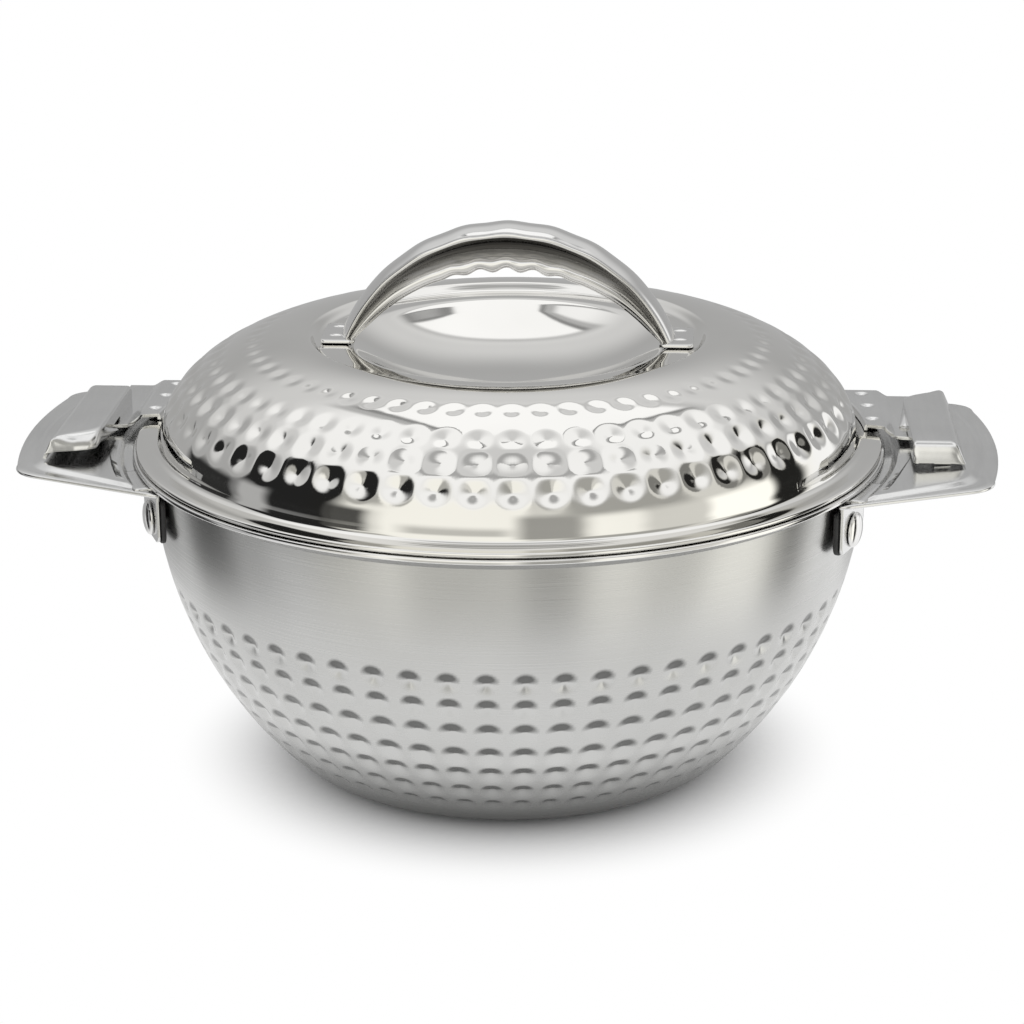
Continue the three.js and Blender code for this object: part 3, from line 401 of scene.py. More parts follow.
base_profile = joined(
    (0.0, 0.35),
    (38.0, 0.35),
    bent((38.0, 0.35), (40.0, 0.35), (41.5, 0.0), 4),
    (59.4, 0.0),
    bent((59.4, 0.0), (60.0, 0.0), (60.0, 0.6), 4),
    (59.8, 1.2),
    (0.0, 1.2),
)
base_disc = spun_piece(
    "base_disc", base_profile, PLAIN_COLUMNS, "bowl", ["base_plate"]
)

# %% [markdown]
# The pressed lid has a flat flange with a folded hem, a dome that follows a rounded-square curve, a
# sharp crest, a step down to the ledge where the grip is welded, and a dish. Four rows of dents go
# round the dome, small and soft at the top, large and crisp at the bottom.

# %% Lid shell
FLANGE_TOP, FLANGE_UNDER, FLANGE_RADIUS = 118.0, 116.4, 130.0
DOME_FOOT, DOME_FILLET, CREST_RADIUS, CREST_TOP = 121.2, 3.0, 69.8, 154.3
LEDGE_TOP, DISH_RADIUS, DISH_DEPTH, DISH_POWER = 151.6, 54.8, 13.0, 2.6
DOME_POWER = 2.0 / 1.85
DENTS_FROM, TOP_ROW_STEP, LID_ROW_STEP, LID_WALL = 84.0, 1.6, 0.9, 1.65
LID_TURN, SOFT, CRISP = math.radians(-1.5), 1.4, 1.3
SOFT_DENTS = [(88.1, 151.9, 4.4, 0.5), (101.8, 145.6, 5.2, 0.85)]
CRISP_DENTS = [(109.3, 140.2, 5.9, 1.35), (115.8, 132.8, 6.2, 1.6)]


def dome(angle):
    """Rounded-square curve: r = crest + run cos^p, z = foot + rise sin^p, for angles 90 to 0."""
    low = FLANGE_TOP + DOME_FILLET
    r = CREST_RADIUS + (DOME_FOOT - CREST_RADIUS) * np.cos(angle) ** DOME_POWER
    return np.stack([r, low + (CREST_TOP - low) * np.sin(angle) ** DOME_POWER], -1)


def dish(r):
    """Dish below the ledge: z = ledge - depth (1 - (r / R)^2.6)."""
    return np.stack([r, LEDGE_TOP - DISH_DEPTH * (1.0 - (r / DISH_RADIUS) ** DISH_POWER)], -1)


dome_path = evenly(dome(np.linspace(np.pi / 2.0, 0.0, 900)), 0.2)
dome_top = evenly(dome_path[dome_path[:, 0] <= DENTS_FROM], TOP_ROW_STEP)
dome_dents = evenly(dome_path[dome_path[:, 0] >= DENTS_FROM], LID_ROW_STEP)
dish_edge, ledge_start = DISH_RADIUS - 2.2, (DISH_RADIUS + 2.0, LEDGE_TOP)
step_foot, step_head = (67.3, LEDGE_TOP + 0.9), (68.3, CREST_TOP - 0.7)
lid_outside = joined(
    dish(np.linspace(6.0, dish_edge, 16)),
    bent(dish(dish_edge), (DISH_RADIUS + 0.2, LEDGE_TOP), ledge_start, 5),
    straight(ledge_start, (64.8, LEDGE_TOP), 2),
    bent((64.8, LEDGE_TOP), (66.4, LEDGE_TOP), step_foot, 4),
    straight(step_foot, step_head, 2),
    bent(step_head, (69.0, CREST_TOP), (CREST_RADIUS, CREST_TOP), 4),
    dome_top[1:],
    dome_dents[1:],
    bent(dome_dents[-1], (DOME_FOOT, FLANGE_TOP), (DOME_FOOT + DOME_FILLET, FLANGE_TOP), 6),
    straight((DOME_FOOT + DOME_FILLET, FLANGE_TOP), (129.2, FLANGE_TOP), 2),
)
hem = joined(
    bent(lid_outside[-1], (FLANGE_RADIUS, FLANGE_TOP), (FLANGE_RADIUS, 117.2), 3),
    bent((FLANGE_RADIUS, 117.2), (FLANGE_RADIUS, FLANGE_UNDER), (129.2, FLANGE_UNDER), 3),
    (128.4, FLANGE_UNDER),
    (128.4, FLANGE_TOP - SHEET),
    (123.6, FLANGE_TOP - SHEET),
    (121.0, FLANGE_TOP + 0.4),
)
lid_inside = lid_outside[::7] - normals_of(lid_outside[::7]) * LID_WALL
lid_inside = lid_inside[lid_inside[:, 0] < 119.8]
dish_bottom = LEDGE_TOP - DISH_DEPTH
lid_profile = joined(
    (0.0, dish_bottom), lid_outside, hem, lid_inside[::-1], (0.0, dish_bottom - 1.0)
)
press_lid = hammer(len(lid_outside), LID_TURN, (SOFT_DENTS, SOFT), (CRISP_DENTS, CRISP))
lid_skin = spun_piece(
    "lid_skin", lid_profile, DENT_COLUMNS, "lid", ["lid_shell"], press_lid
)

# %% [markdown]
# Under the lid a shallow pan closes the foam in and plugs the mouth. A ring of silicone is stretched
# round it: its outer side has two soft lips, with a groove between them.

# %% Pan and seal
PAN_RADIUS, PAN_LOW, PAN_RIM = 113.2, 108.4, 116.4
pan_under = joined(
    (20.0, 112.3),
    straight((20.0, 112.3), (PAN_RADIUS - 3.0, PAN_LOW), 8),
    bent((PAN_RADIUS - 3.0, PAN_LOW), (PAN_RADIUS, PAN_LOW), (PAN_RADIUS, PAN_LOW + 3.0), 6),
    straight((PAN_RADIUS, PAN_LOW + 3.0), (PAN_RADIUS, PAN_RIM - 0.5), 2),
    bent((PAN_RADIUS, PAN_RIM - 0.5), (PAN_RADIUS, PAN_RIM), (PAN_RADIUS + 0.5, PAN_RIM), 3),
    straight((PAN_RADIUS + 0.5, PAN_RIM), (128.1, PAN_RIM), 2),
)
pan_top = pan_under + normals_of(pan_under) * SHEET
pan_profile = joined((0.0, 112.4), pan_under, pan_top[::-1], (0.0, 113.0))
pan_skin = spun_piece(
    "pan_skin", pan_profile, PLAIN_COLUMNS, "lid", ["lid_pan"]
)

SEAL_IN, SEAL_OUT, SEAL_LOW, SEAL_HIGH, SEAL_SWELL = 113.9, 115.6, 110.1, 5.0, 0.62
seal_height = np.linspace(0.0, 1.0, 25)
seal_swell = SEAL_SWELL * np.abs(np.sin(2.0 * np.pi * seal_height)) ** 0.6
seal_profile = joined(
    (SEAL_IN, SEAL_LOW),
    np.stack([SEAL_OUT - SEAL_SWELL + seal_swell, SEAL_LOW + SEAL_HIGH * seal_height], 1),
    (SEAL_IN, SEAL_LOW + SEAL_HIGH),
)
seal_lips = spun_piece(
    "seal_lips", seal_profile, PLAIN_COLUMNS, "seal", ["seal_ring"]
)

# %% [markdown]
# Flat strips of sheet, such as the legs of a handle, have one section all the way: a rectangle with
# rounded corners. It is carried along a path, and its left and right edges may draw in near the end,
# which rounds the end of the strip in its own plane.

# %% Helpers for strips of sheet
def strip_section(face_steps, corner_steps=3):
    """Rounded rectangle as numbers: where each point lies across and through, and its corner part."""
    a = np.linspace(0.0, np.pi / 2.0, corner_steps + 1)
    flat = np.linspace(-1.0, 1.0, face_steps + 1)[1:-1]
    across, through, side, depth = [], [], [], []
    for quarter, (sx, sz) in enumerate([(1, 1), (-1, 1), (-1, -1), (1, -1)]):
        turned = a + quarter * np.pi / 2.0
        across.append(np.full(len(a), float(sx)))
        through.append(np.full(len(a), float(sz)))
        side.append(np.cos(turned))
        depth.append(np.sin(turned))
        if quarter in (0, 2):
            across.append(-sx * flat)
            through.append(np.full(len(flat), float(sz)))
            side.append(np.zeros(len(flat)))
            depth.append(np.full(len(flat), float(sz)))
    return [np.concatenate(part) for part in (across, through, side, depth)]


def strip_grid(path, side, normal, left, right, thickness, corner, steps):
    """Point = path + side (middle + across (half - c) + c s) + normal (through (t/2 - c) + c d),
    for the rounded rectangle's numbers across, through, s and d, and its corner radius c. side and
    normal are one direction for the whole path, or one for each of its points."""
    side, normal = (np.broadcast_to(way, path.shape)[:, None, :] for way in (side, normal))
    across, through, s, d = strip_section(steps)
    middle, half = ((left + right) / 2.0)[:, None], ((right - left) / 2.0)[:, None]
    c = np.minimum(corner, 0.45 * thickness)
    sideways = middle + across * (half - c) + c * s
    depth = through * (thickness / 2.0 - c) + c * d
    deep = (depth + 0.0 * sideways)[:, :, None]
    return path[:, None, :] + sideways[:, :, None] * side + deep * normal


def drawn_in(radius, past):
    """How far a rounded corner draws the edge in: r - sqrt(r^2 - past^2), where past is the way
    beyond the start of the corner, and 0 before it."""
    return radius - np.sqrt(np.maximum(radius**2 - np.maximum(past, 0.0) ** 2, 0.0))


def turned_about_z(points, angle):
    """x' = x cos - y sin, y' = x sin + y cos."""
    c, s = math.cos(angle), math.sin(angle)
    return points @ np.array([[c, s, 0.0], [-s, c, 0.0], [0.0, 0.0, 1.0]])


def merged(*parts):
    """Several closed shells as one set of points and faces."""
    points, quads, triangles, count = [], [], [], 0
    for shell_points, shell_faces in parts:
        for corners in facing_out(shell_points, shell_faces):
            (quads if corners.shape[1] == 4 else triangles).append(corners + count)
        points.append(shell_points)
        count += len(shell_points)
    return np.concatenate(points), [np.concatenate(quads), np.concatenate(triangles)]


print("a strip's section has", len(strip_section(10)[0]), "points")

# %% [markdown]
# A side handle is one pressing: a plate with a raised panel, and two legs that pass under the rim
# and turn down the wall. The plate is a set of outlines, one inside the other, each at its own
# height: this gives the rounded edge, the flat border, the sloped step and the panel. The whole plate
# tips up a little towards its tip.

# %% Plate of a side handle
PLATE_INNER, HANDLE_INNER, HANDLE_TIP, HANDLE_CORNER = 128.9, 133.0, 169.5, 165.5
ROOT_HALF, CORNER_HALF, CORNER_ROUND, ROOT_EASE = 65.0, 49.0, 9.0, 2.5
HANDLE_TOP, PLATE_SHEET = 114.2, 1.3
HANDLE_TILT = math.atan2(1.66, 36.5)
UNDERSIDE = [
    (10.0, -0.1), (7.7, -0.1), (7.1, -0.14), (6.6, -0.35),
    (5.4, -1.02), (4.9, -1.24), (4.4, -1.3), (2.4, -1.3),
]
EDGE_AND_TOP = [
    (0.45, -1.3), (0.13, -1.17), (0.0, -0.85), (0.0, -0.45), (0.13, -0.13), (0.45, 0.0), (2.4, 0.0),
    (4.4, 0.0), (4.9, 0.06), (5.4, 0.28), (6.6, 0.95), (7.1, 1.16), (7.7, 1.2), (10.0, 1.2),
]


def plate_outline(margin):
    """Closed outline drawn in by a margin: inner arc, sides, rounded corners and a bowed tip."""
    inner, root = PLATE_INNER + margin, ROOT_HALF - margin
    tip, corner_x, corner_y = HANDLE_TIP - margin, HANDLE_CORNER - margin, CORNER_HALF - margin
    root_x = math.sqrt(inner**2 - root**2)
    lean = (root - corner_y) / (corner_x - root_x)
    arc = np.linspace(-1.0, 1.0, 41)[1:-1] * (math.asin(root / inner) - ROOT_EASE / inner)
    near_root = (root_x + ROOT_EASE, -root + ROOT_EASE * lean)
    side_end = (corner_x - CORNER_ROUND, -corner_y - CORNER_ROUND * lean)
    arc_start = (inner * math.cos(arc[0]), inner * math.sin(arc[0]))
    tip_start, tip_end = (corner_x, -corner_y + CORNER_ROUND), (corner_x, corner_y - CORNER_ROUND)
    lower = joined(
        bent(arc_start, (root_x, -root), near_root, 6)[:-1],
        straight(near_root, side_end, 14),
        bent(side_end, (corner_x, -corner_y), tip_start, 10),
        bent(tip_start, (2.0 * tip - corner_x, 0.0), tip_end, 30)[:15],
    )
    upper_half = lower[::-1][1:] * [1.0, -1.0]
    inner_arc = np.stack([inner * np.cos(arc[::-1]), inner * np.sin(arc[::-1])], 1)
    return np.concatenate([lower, upper_half, inner_arc])


def plate_shell():
    """Outlines by (margin, height): along the underside, round the edge, and up to the panel."""
    rings = []
    for margin, height in UNDERSIDE + EDGE_AND_TOP:
        flat = plate_outline(margin)
        rings.append(np.column_stack([flat, np.full(len(flat), height)]))
    points, faces = capped(np.stack(rings))
    x, z = points[:, 0] - HANDLE_INNER, points[:, 2]
    c, s = math.cos(HANDLE_TILT), math.sin(HANDLE_TILT)
    out, high = HANDLE_INNER + x * c - z * s, HANDLE_TOP + x * s + z * c
    return np.column_stack([out, points[:, 1], high]), faces


print("points in a plate's outline:", len(plate_outline(0.0)))

# %% [markdown]
# The two legs of a handle are strips with their own path, a flat run and a bend of three millimetres.
# Their lower corners aren't alike: the one towards the middle of the handle has the large radius.
# Plate and legs make one mesh, and the left-hand handle is the same mesh turned by half a circle.

# %% Legs of a side handle
SIDES = {"right": 0.0, "left": math.pi}
LEG_ANGLE = math.asin(49.1 / 128.2)
LEG_MIDDLE, LEG_BOTTOM, LEG_HALF, LEG_BEND = 127.57, 94.0, 10.5, 3.0
LARGE_ROUND, SMALL_ROUND = 9.5, 2.5


def leg_shell(angle):
    """Strip along a path in the plane of the radius: in under the plate, round a bend, and down."""
    mid = HANDLE_TOP - PLATE_SHEET / 2.0
    bend_start, bend_end = (LEG_MIDDLE + LEG_BEND, mid), (LEG_MIDDLE, mid - LEG_BEND)
    path = joined(
        (135.5, mid),
        (133.2, mid),
        straight((133.2, mid), bend_start, 3),
        bent(bend_start, (LEG_MIDDLE, mid), bend_end, 8),
        straight(bend_end, (LEG_MIDDLE, LEG_BOTTOM + 10.0), 5),
        straight((LEG_MIDDLE, LEG_BOTTOM + 10.0), (LEG_MIDDLE, LEG_BOTTOM + 0.02), 26),
    )
    rise = path[:, 1] - LEG_BOTTOM
    large, small = (drawn_in(radius, radius - rise) for radius in (LARGE_ROUND, SMALL_ROUND))
    left_cut, right_cut = (large, small) if angle > 0.0 else (small, large)
    in_space = np.insert(path, 1, 0.0, axis=1)
    outward = np.insert(-normals_of(path), 1, 0.0, axis=1)
    left, right = -LEG_HALF + left_cut, LEG_HALF - right_cut
    grid = strip_grid(in_space, [0.0, 1.0, 0.0], outward, left, right, PLATE_SHEET, 0.45, 16)
    points, faces = capped(grid)
    return turned_about_z(points, angle), faces


handles = []
for name, half_turn in SIDES.items():
    points, faces = merged(plate_shell(), leg_shell(-LEG_ANGLE), leg_shell(LEG_ANGLE))
    points, node = turned_about_z(points, half_turn), f"side_handle_{name}"
    handles.append(new_piece(f"{node}_form", points, faces, "bowl", [node]))

# %% [markdown]
# Each leg is riveted through a dark spacer that keeps it off the wall. The rivet is a small turned
# piece on the leg's own radius: a low dome outside, a shank, and a flattened tail inside. It is spun
# upright and then laid down. The spacer is a short strip with a rounded lower end.

# %% Rivets and spacers
RIVET_HEIGHT, HEAD_BASE, TAIL, RIVET_COLUMNS = 100.4, 128.52, 117.8, 48
PAD_MIDDLE, PAD_TOP, PAD_LOW, PAD_HALF, PAD_ROUND = 126.05, 108.6, 97.6, 12.0, 4.0
PLACES = {
    "right_front": -LEG_ANGLE,
    "right_back": LEG_ANGLE,
    "left_back": math.pi - LEG_ANGLE,
    "left_front": math.pi + LEG_ANGLE,
}
rivet_profile = joined(
    (0.0, TAIL),
    straight((0.0, TAIL), (3.4, TAIL), 2),
    bent((3.4, TAIL), (4.0, TAIL), (4.0, 118.4), 3),
    [(4.0, 119.0), (2.5, 119.2), (2.5, HEAD_BASE), (5.7, HEAD_BASE)],
    bent((5.7, HEAD_BASE), (6.0, HEAD_BASE), (6.0, HEAD_BASE + 0.35), 3),
    bent((6.0, HEAD_BASE + 0.35), (5.9, HEAD_BASE + 0.9), (4.7, HEAD_BASE + 1.45), 5),
    bent((4.7, HEAD_BASE + 1.45), (2.6, HEAD_BASE + 2.2), (0.0, HEAD_BASE + 2.2), 8),
)


def rivet_shell():
    """Upright rivet laid along the radius: (x, y, z) becomes (z, y, height - x)."""
    points, faces = capped(spun(rivet_profile[1:-1], RIVET_COLUMNS), poles_of(rivet_profile))
    return np.column_stack([points[:, 2], points[:, 1], RIVET_HEIGHT - points[:, 0]]), faces


def pad_shell():
    """Strip straight down, with its edges drawn in over the last four millimetres."""
    round_end = PAD_LOW - PAD_ROUND * np.sin(np.linspace(0.0, np.pi / 2.0, 12)[1:])
    z = np.concatenate([np.linspace(PAD_TOP, PAD_LOW, 8), round_end])
    path = np.column_stack([np.full(len(z), PAD_MIDDLE), np.zeros(len(z)), z])
    half = PAD_HALF - drawn_in(PAD_ROUND, PAD_LOW - z)
    return capped(strip_grid(path, [0.0, 1.0, 0.0], [1.0, 0.0, 0.0], -half, half, 1.4, 0.4, 8))


rivets, pads = [], []
for name, angle in PLACES.items():
    points, faces = rivet_shell()
    points, node = turned_about_z(points, angle), f"rivet_{name}"
    rivets.append(new_piece(f"{node}_form", points, faces, "bowl", [node]))
    points, faces = pad_shell()
    points, node = turned_about_z(points, angle), f"spacer_pad_{name}"
    pads.append(
        new_piece(f"spacer_{name}_form", points, faces, "bowl", [node])
    )

# %% [markdown]
# The straps and the caps of the lid are bent from one sheet. Its upper face is a grid, and the
# Solidify and Bevel modifiers give it its thickness and its soft edges. This is simpler than a grid
# for each side, and the edges of the sheet show its real thickness.

# %% Helpers for sheet parts
LID_SHEET, EDGE_ROUND, EDGE_ANGLE = 1.1, 0.3, math.radians(50.0)


def lid_sheet(node, grid, half_turn):
    """Open grid of points, turned to its side of the lid, with its thickness below it."""
    rows, columns = grid.shape[:2]
    points = turned_about_z(grid.reshape(-1, 3), half_turn)
    faces = [grid_squares(rows, columns, around=False)]
    a, b, c = (points[faces[0][:, k]] for k in (0, 1, 2))
    if np.cross(b - a, c - a)[:, 2].sum() < 0.0:
        faces = [faces[0][:, ::-1]]
    piece = new_piece(f"{node}_form", points, faces, "lid", [node], closed=False)
    thick = piece.modifiers.new("thickness", "SOLIDIFY")
    thick.thickness = LID_SHEET * MILLIMETRE
    thick.offset = -1.0
    thick.use_even_offset = False
    round_edge = piece.modifiers.new("edges", "BEVEL")
    round_edge.width = EDGE_ROUND * MILLIMETRE
    round_edge.segments = 3
    round_edge.limit_method = "ANGLE"
    round_edge.angle_limit = EDGE_ANGLE
    round_edge.use_clamp_overlap = True
    return piece


def eased(t):
    """Smooth step: 3t^2 - 2t^3 between 0 and 1."""
    t = np.clip(t, 0.0, 1.0)
    return t * t * (3.0 - 2.0 * t)


print("halfway, the smooth step is", eased(0.5), "and a quarter of the way", eased(0.25))

# %% [markdown]
# A strap is spot-welded over the lid's flange on each side. Its inner edge turns down against the
# dome, then comes a flat with three welds, a joggle, and a lower flat that runs into the lock cap.
# The grid's rows follow the dome at the inner edge and grow straight towards the cap.

# %% Lid straps
STRAP_INNER, STRAP_TOP, TONGUE_TOP, LEAF_LOW, STRAP_BACK = 124.5, 120.6, 118.46, 118.4, 48.6
LEAF_END, FLAT_END, TONGUE_START = 0.14, 0.62, 0.8
LEAF_RUN, FLAT_X, JOGGLE_X, JOGGLE_RUN = 0.9, 130.2, 130.5, 4.8
STRAP_ROWS, STRAP_COLUMNS = 90, 84
WELDS = [(127.4, 12.6), (126.6, 29.0), (125.2, 44.0)]
WELD_LONG, WELD_SHORT, WELD_DEPTH, WELD_TILT = 2.6, 2.1, 0.8, 0.2


def strap_grid(towards):
    """Upper face: x grows from the arc r = 124.5 to the tongue, and y from the slanted front edge to
    the straight back edge. z falls from the top to the tongue by a smooth step of x, and to the low
    edge of the leaf by (1 - sin)^1.3. Each weld is an oval dent, 0.8 (1 - d^2)^1.1 deep."""
    u = np.linspace(0.0, 1.0, STRAP_ROWS)[:, None]
    v = np.linspace(0.0, 1.0, STRAP_COLUMNS)[None, :]
    stations = [0.0, LEAF_END, FLAT_END, TONGUE_START, 1.0]
    nominal = np.interp(u, stations, [124.5, 125.4, FLAT_X, 135.6, 143.4])
    front = np.interp(nominal, [124.5, 130.6, 135.2, 143.4], [5.6, 3.7, -1.3, -2.6])
    y = front + v * (STRAP_BACK - front)
    arc_x = np.sqrt(STRAP_INNER**2 - y**2)
    leaf_x = arc_x + LEAF_RUN * eased(u / LEAF_END) ** 2
    share = np.clip((u - LEAF_END) / (FLAT_END - LEAF_END), 0.0, 1.0)
    flat_x = arc_x + LEAF_RUN + share * (FLAT_X - arc_x - LEAF_RUN)
    x = np.where(u <= LEAF_END, leaf_x, flat_x)
    x = np.where(u > FLAT_END, nominal + 0.0 * y, x)
    z = STRAP_TOP - (STRAP_TOP - TONGUE_TOP) * eased((x - JOGGLE_X) / JOGGLE_RUN)
    leaf_share = (1.0 - np.sin(np.pi / 2.0 * u / LEAF_END)) ** 1.3
    z = np.where(u < LEAF_END, STRAP_TOP - (STRAP_TOP - LEAF_LOW) * leaf_share, z)
    c, s = math.cos(WELD_TILT), math.sin(WELD_TILT)
    for weld_x, weld_y in WELDS:
        across = (x - weld_x) * c + (y - weld_y) * s
        down = -(x - weld_x) * s + (y - weld_y) * c
        d2 = (across / WELD_LONG) ** 2 + (down / WELD_SHORT) ** 2
        z = z - WELD_DEPTH * np.clip(1.0 - d2, 0.0, 1.0) ** 1.1
    grid = np.stack([x, towards * y, z], 2)
    return grid if towards > 0 else grid[:, ::-1]


straps = [
    lid_sheet("lid_strap_right", strap_grid(1), SIDES["right"]),
    lid_sheet("lid_strap_left", strap_grid(-1), SIDES["left"]),
]

# %% [markdown]
# The lock cap is a small pressed hood. One end is closed by a steep face. The other end is cut off
# at a slant, rolled over into a lip that starts at the strap, and open below it, so that the keeper
# can pass in. The hood is one section, from the inner wall over the flat top to the leaning outer
# wall, carried along the cap. Towards the open end the inner wall's foot rises.

# %% Lock caps
CAP_INNER, CAP_TOP_OUTER, CAP_FOOT_OUTER = 139.0, 153.5, 156.8
CAP_FOOT, CAP_TOP, CAP_WINDOW = 117.5, 124.58, 1.95
CAP_CLOSED, CAP_END, WINDOW_FROM, WINDOW_EASE = -26.6, 2.8, -7.0, 1.5
CAP_DRAWN, CAP_MIDDLE = 3.2, 148.0


def cap_section():
    """Inner wall up, rounded corner, flat top, rounded corner, leaning outer wall down."""
    top, shoulder = CAP_TOP, (CAP_TOP_OUTER + 1.1, CAP_TOP - 2.2)
    return joined(
        (CAP_INNER, CAP_FOOT),
        straight((CAP_INNER, CAP_FOOT), (CAP_INNER, top - 1.4), 8),
        bent((CAP_INNER, top - 1.4), (CAP_INNER, top), (CAP_INNER + 1.4, top), 6),
        straight((CAP_INNER + 1.4, top), (CAP_TOP_OUTER - 2.2, top), 14),
        bent((CAP_TOP_OUTER - 2.2, top), (CAP_TOP_OUTER + 0.2, top), shoulder, 8),
        straight(shoulder, (CAP_FOOT_OUTER, CAP_FOOT), 6),
    )


def cap_lines(x0, z0, rise, inner):
    """The slanting line y(x) where the open end is cut, and the lip's own line x, y, z below it. On
    the inner wall both go by the share of the wall's height."""
    edge_y = np.interp(x0, [139.0, 143.3, 148.6, 151.5, 154.0], [23.7, 28.6, 32.5, 35.5, 38.0])
    lip_x = np.interp(x0, [139.0, 141.0, 154.6, 157.0], [139.6, 141.4, 154.6, 157.0])
    lip_y = np.interp(x0, [139.0, 141.0, 146.0, 153.0, 157.0], [32.0, 34.0, 36.4, 38.4, 39.0])
    lip_z = np.minimum(np.interp(x0, [139.0, 153.0, 154.6], [119.3, 119.6, 119.2]), z0)
    return (
        np.where(inner, 8.0 + 15.7 * rise**0.8, edge_y),
        np.where(inner, 136.6 + 3.0 * rise, lip_x),
        np.where(inner, 9.0 + 23.0 * rise, lip_y),
        np.where(inner, 118.7 + 1.7 * rise, lip_z),
    )


def cap_grid():
    """Rows of the section along y. Closed end: the height's share falls as 1 - 0.97 t^1.6 while y
    goes from -26.6 to -29.4 by sin. Lip: x and y go from the cut to the lip's line by sin, and z by
    1 - cos, of a quarter turn."""
    x0, z0 = cap_section().T
    rise = (z0 - CAP_FOOT) / (CAP_TOP - CAP_FOOT)
    inner = x0 <= CAP_INNER + 0.01
    low = CAP_FOOT + CAP_WINDOW
    window_z = np.where(inner, low + (CAP_TOP - low) * rise, z0)
    edge_y, lip_x, lip_y, lip_z = cap_lines(x0, z0, rise, inner)
    rows = []
    for t in np.linspace(0.0, 1.0, 12)[::-1]:
        y = CAP_CLOSED - CAP_END * math.sin(0.5 * math.pi * t)
        x = x0 - CAP_DRAWN * max(0.0, t - 0.25) ** 2 * (x0 - CAP_MIDDLE) / 9.0
        z = CAP_FOOT + (z0 - CAP_FOOT) * (1.0 - 0.97 * t**1.6)
        rows.append(np.column_stack([x, np.full(len(x), y), z]))
    for w in np.linspace(0.0, 1.0, 34)[1:]:
        y = CAP_CLOSED + w * (edge_y - CAP_CLOSED)
        opening = eased((y - WINDOW_FROM) / WINDOW_EASE)
        rows.append(np.column_stack([x0, y, (1.0 - opening) * z0 + opening * window_z]))
    last_x, last_y, last_z = rows[-1].T
    for w in np.linspace(0.0, 1.0, 10)[1:]:
        run, drop = math.sin(0.5 * math.pi * w), 1.0 - math.cos(0.5 * math.pi * w)
        x, y = last_x + (lip_x - last_x) * run, last_y + (lip_y - last_y) * run
        rows.append(np.column_stack([x, y, last_z + (lip_z - last_z) * drop]))
    return np.stack(rows)


caps = [lid_sheet(f"lock_cap_{name}", cap_grid(), angle) for name, angle in SIDES.items()]

# %% [markdown]
# The grip on the lid is a thin-walled arch, deep in the middle and pointed at both feet. Its section
# is a crowned top with a rolled hem at each side, a wall set back below the hem, and a rounded bead
# along the lower edge. The set-back wall lies in the shadow of the hem. That shade is painted on its
# points, strongest just below the hem, because the lights alone leave the polished wall too bright.

# %% Section of the top handle
ARCH_HEIGHT, CROWN, HALF_WIDTH, HEM_X, WALL_X, BEAD_X = 11.7, 2.4, 9.3, 10.0, 9.0, 8.4
HOLLOW_DEPTH, HOLLOW_SHADE = 4.4, 0.98


def arch_section(height):
    """One side of the section, from the middle of the crown out and down, as y and height. The
    hollow between hem and bead is y = 9 - t/2 - depth sin(pi t^0.75)^0.8, for t from 0 to 1, and its
    shade is 7t up to 1, then 1.8 - 1.45t."""
    low = np.clip(height / ARCH_HEIGHT, 0.0, 1.0)
    bead, hem = np.minimum(3.2, 0.42 * height), np.minimum(0.7, 0.12 * height + 0.2)
    t = np.linspace(0.0, 1.0, 9)
    crown = np.column_stack([HALF_WIDTH * t, height + CROWN * (1.0 - (0.93 * t) ** 2)])
    a = np.linspace(0.35, 2.7, 8)
    roll_z = height - hem * 0.3 + hem * np.cos(a)
    roll = np.column_stack([HEM_X - hem + hem * np.sin(a), roll_z])
    t = np.linspace(0.0, 1.0, 16)[1:-1]
    start, end = height - 1.1 * low - 0.1, bead + 0.1
    depth = HOLLOW_DEPTH * low**0.7 * np.sin(np.pi * t**0.75) ** 0.8
    hollow = np.column_stack([WALL_X - 0.5 * t - depth, start + (end - start) * t])
    half = bead / 2.0
    a = np.linspace(1.45, -1.5, 11)
    lip = np.column_stack([BEAD_X - 0.4 * half + half * np.cos(a), half + half * np.sin(a)])
    fade = np.clip(7.0 * t, 0.0, 1.0) * np.clip(1.8 - 1.45 * t, 0.0, 1.0)
    shade = HOLLOW_SHADE * fade * low**0.3
    plain = np.zeros(len(crown) + len(roll))
    return np.concatenate([crown, roll, hollow, lip]), np.concatenate([plain, shade, 0.0 * a])


print("points on one side of the grip's section:", len(arch_section(ARCH_HEIGHT)[0]))

# %% [markdown]
# Seen from the front, the arch lies between two arcs through its feet. The section is set up between
# them at each place, as high as they are apart there. Its bead is waved where the fingers go, and the
# crown has a very slight wave of its own. The inner side of the sheet closes the section.

# %% Arch of the top handle
ARCH_BASE = LEDGE_TOP + 0.3
ARCH_SPAN, ARCH_RISE, UNDER_SPAN, UNDER_RISE = 56.0, 38.2, 53.8, 26.5
ARCH_RINGS, CROWDING, GRIP_SHEET = 181, 0.86, 1.1
FINGER_WAVE, FINGER_PITCH, FINGER_SPAN = 0.85, 9.4, 26.0
CROWN_WAVE, CROWN_PITCH, CROWN_SPAN = 0.22, 13.0, 48.0


def arc(half_span, rise, share):
    """Arc through both feet: R = (s^2 + h^2) / 2h, at an angle share times 2 atan(h / s)."""
    radius = (half_span**2 + rise**2) / (2.0 * rise)
    angle = 2.0 * math.atan2(rise, half_span) * share
    return np.stack([radius * np.sin(angle), ARCH_BASE + rise - radius * (1.0 - np.cos(angle))], -1)


def wave_along(x, size, pitch, span):
    """size cos(2 pi x / pitch), fading out as 1 - (x / span)^2."""
    return size * np.clip(1.0 - (x / span) ** 2, 0.0, 1.0) * np.cos(2.0 * np.pi * x / pitch)


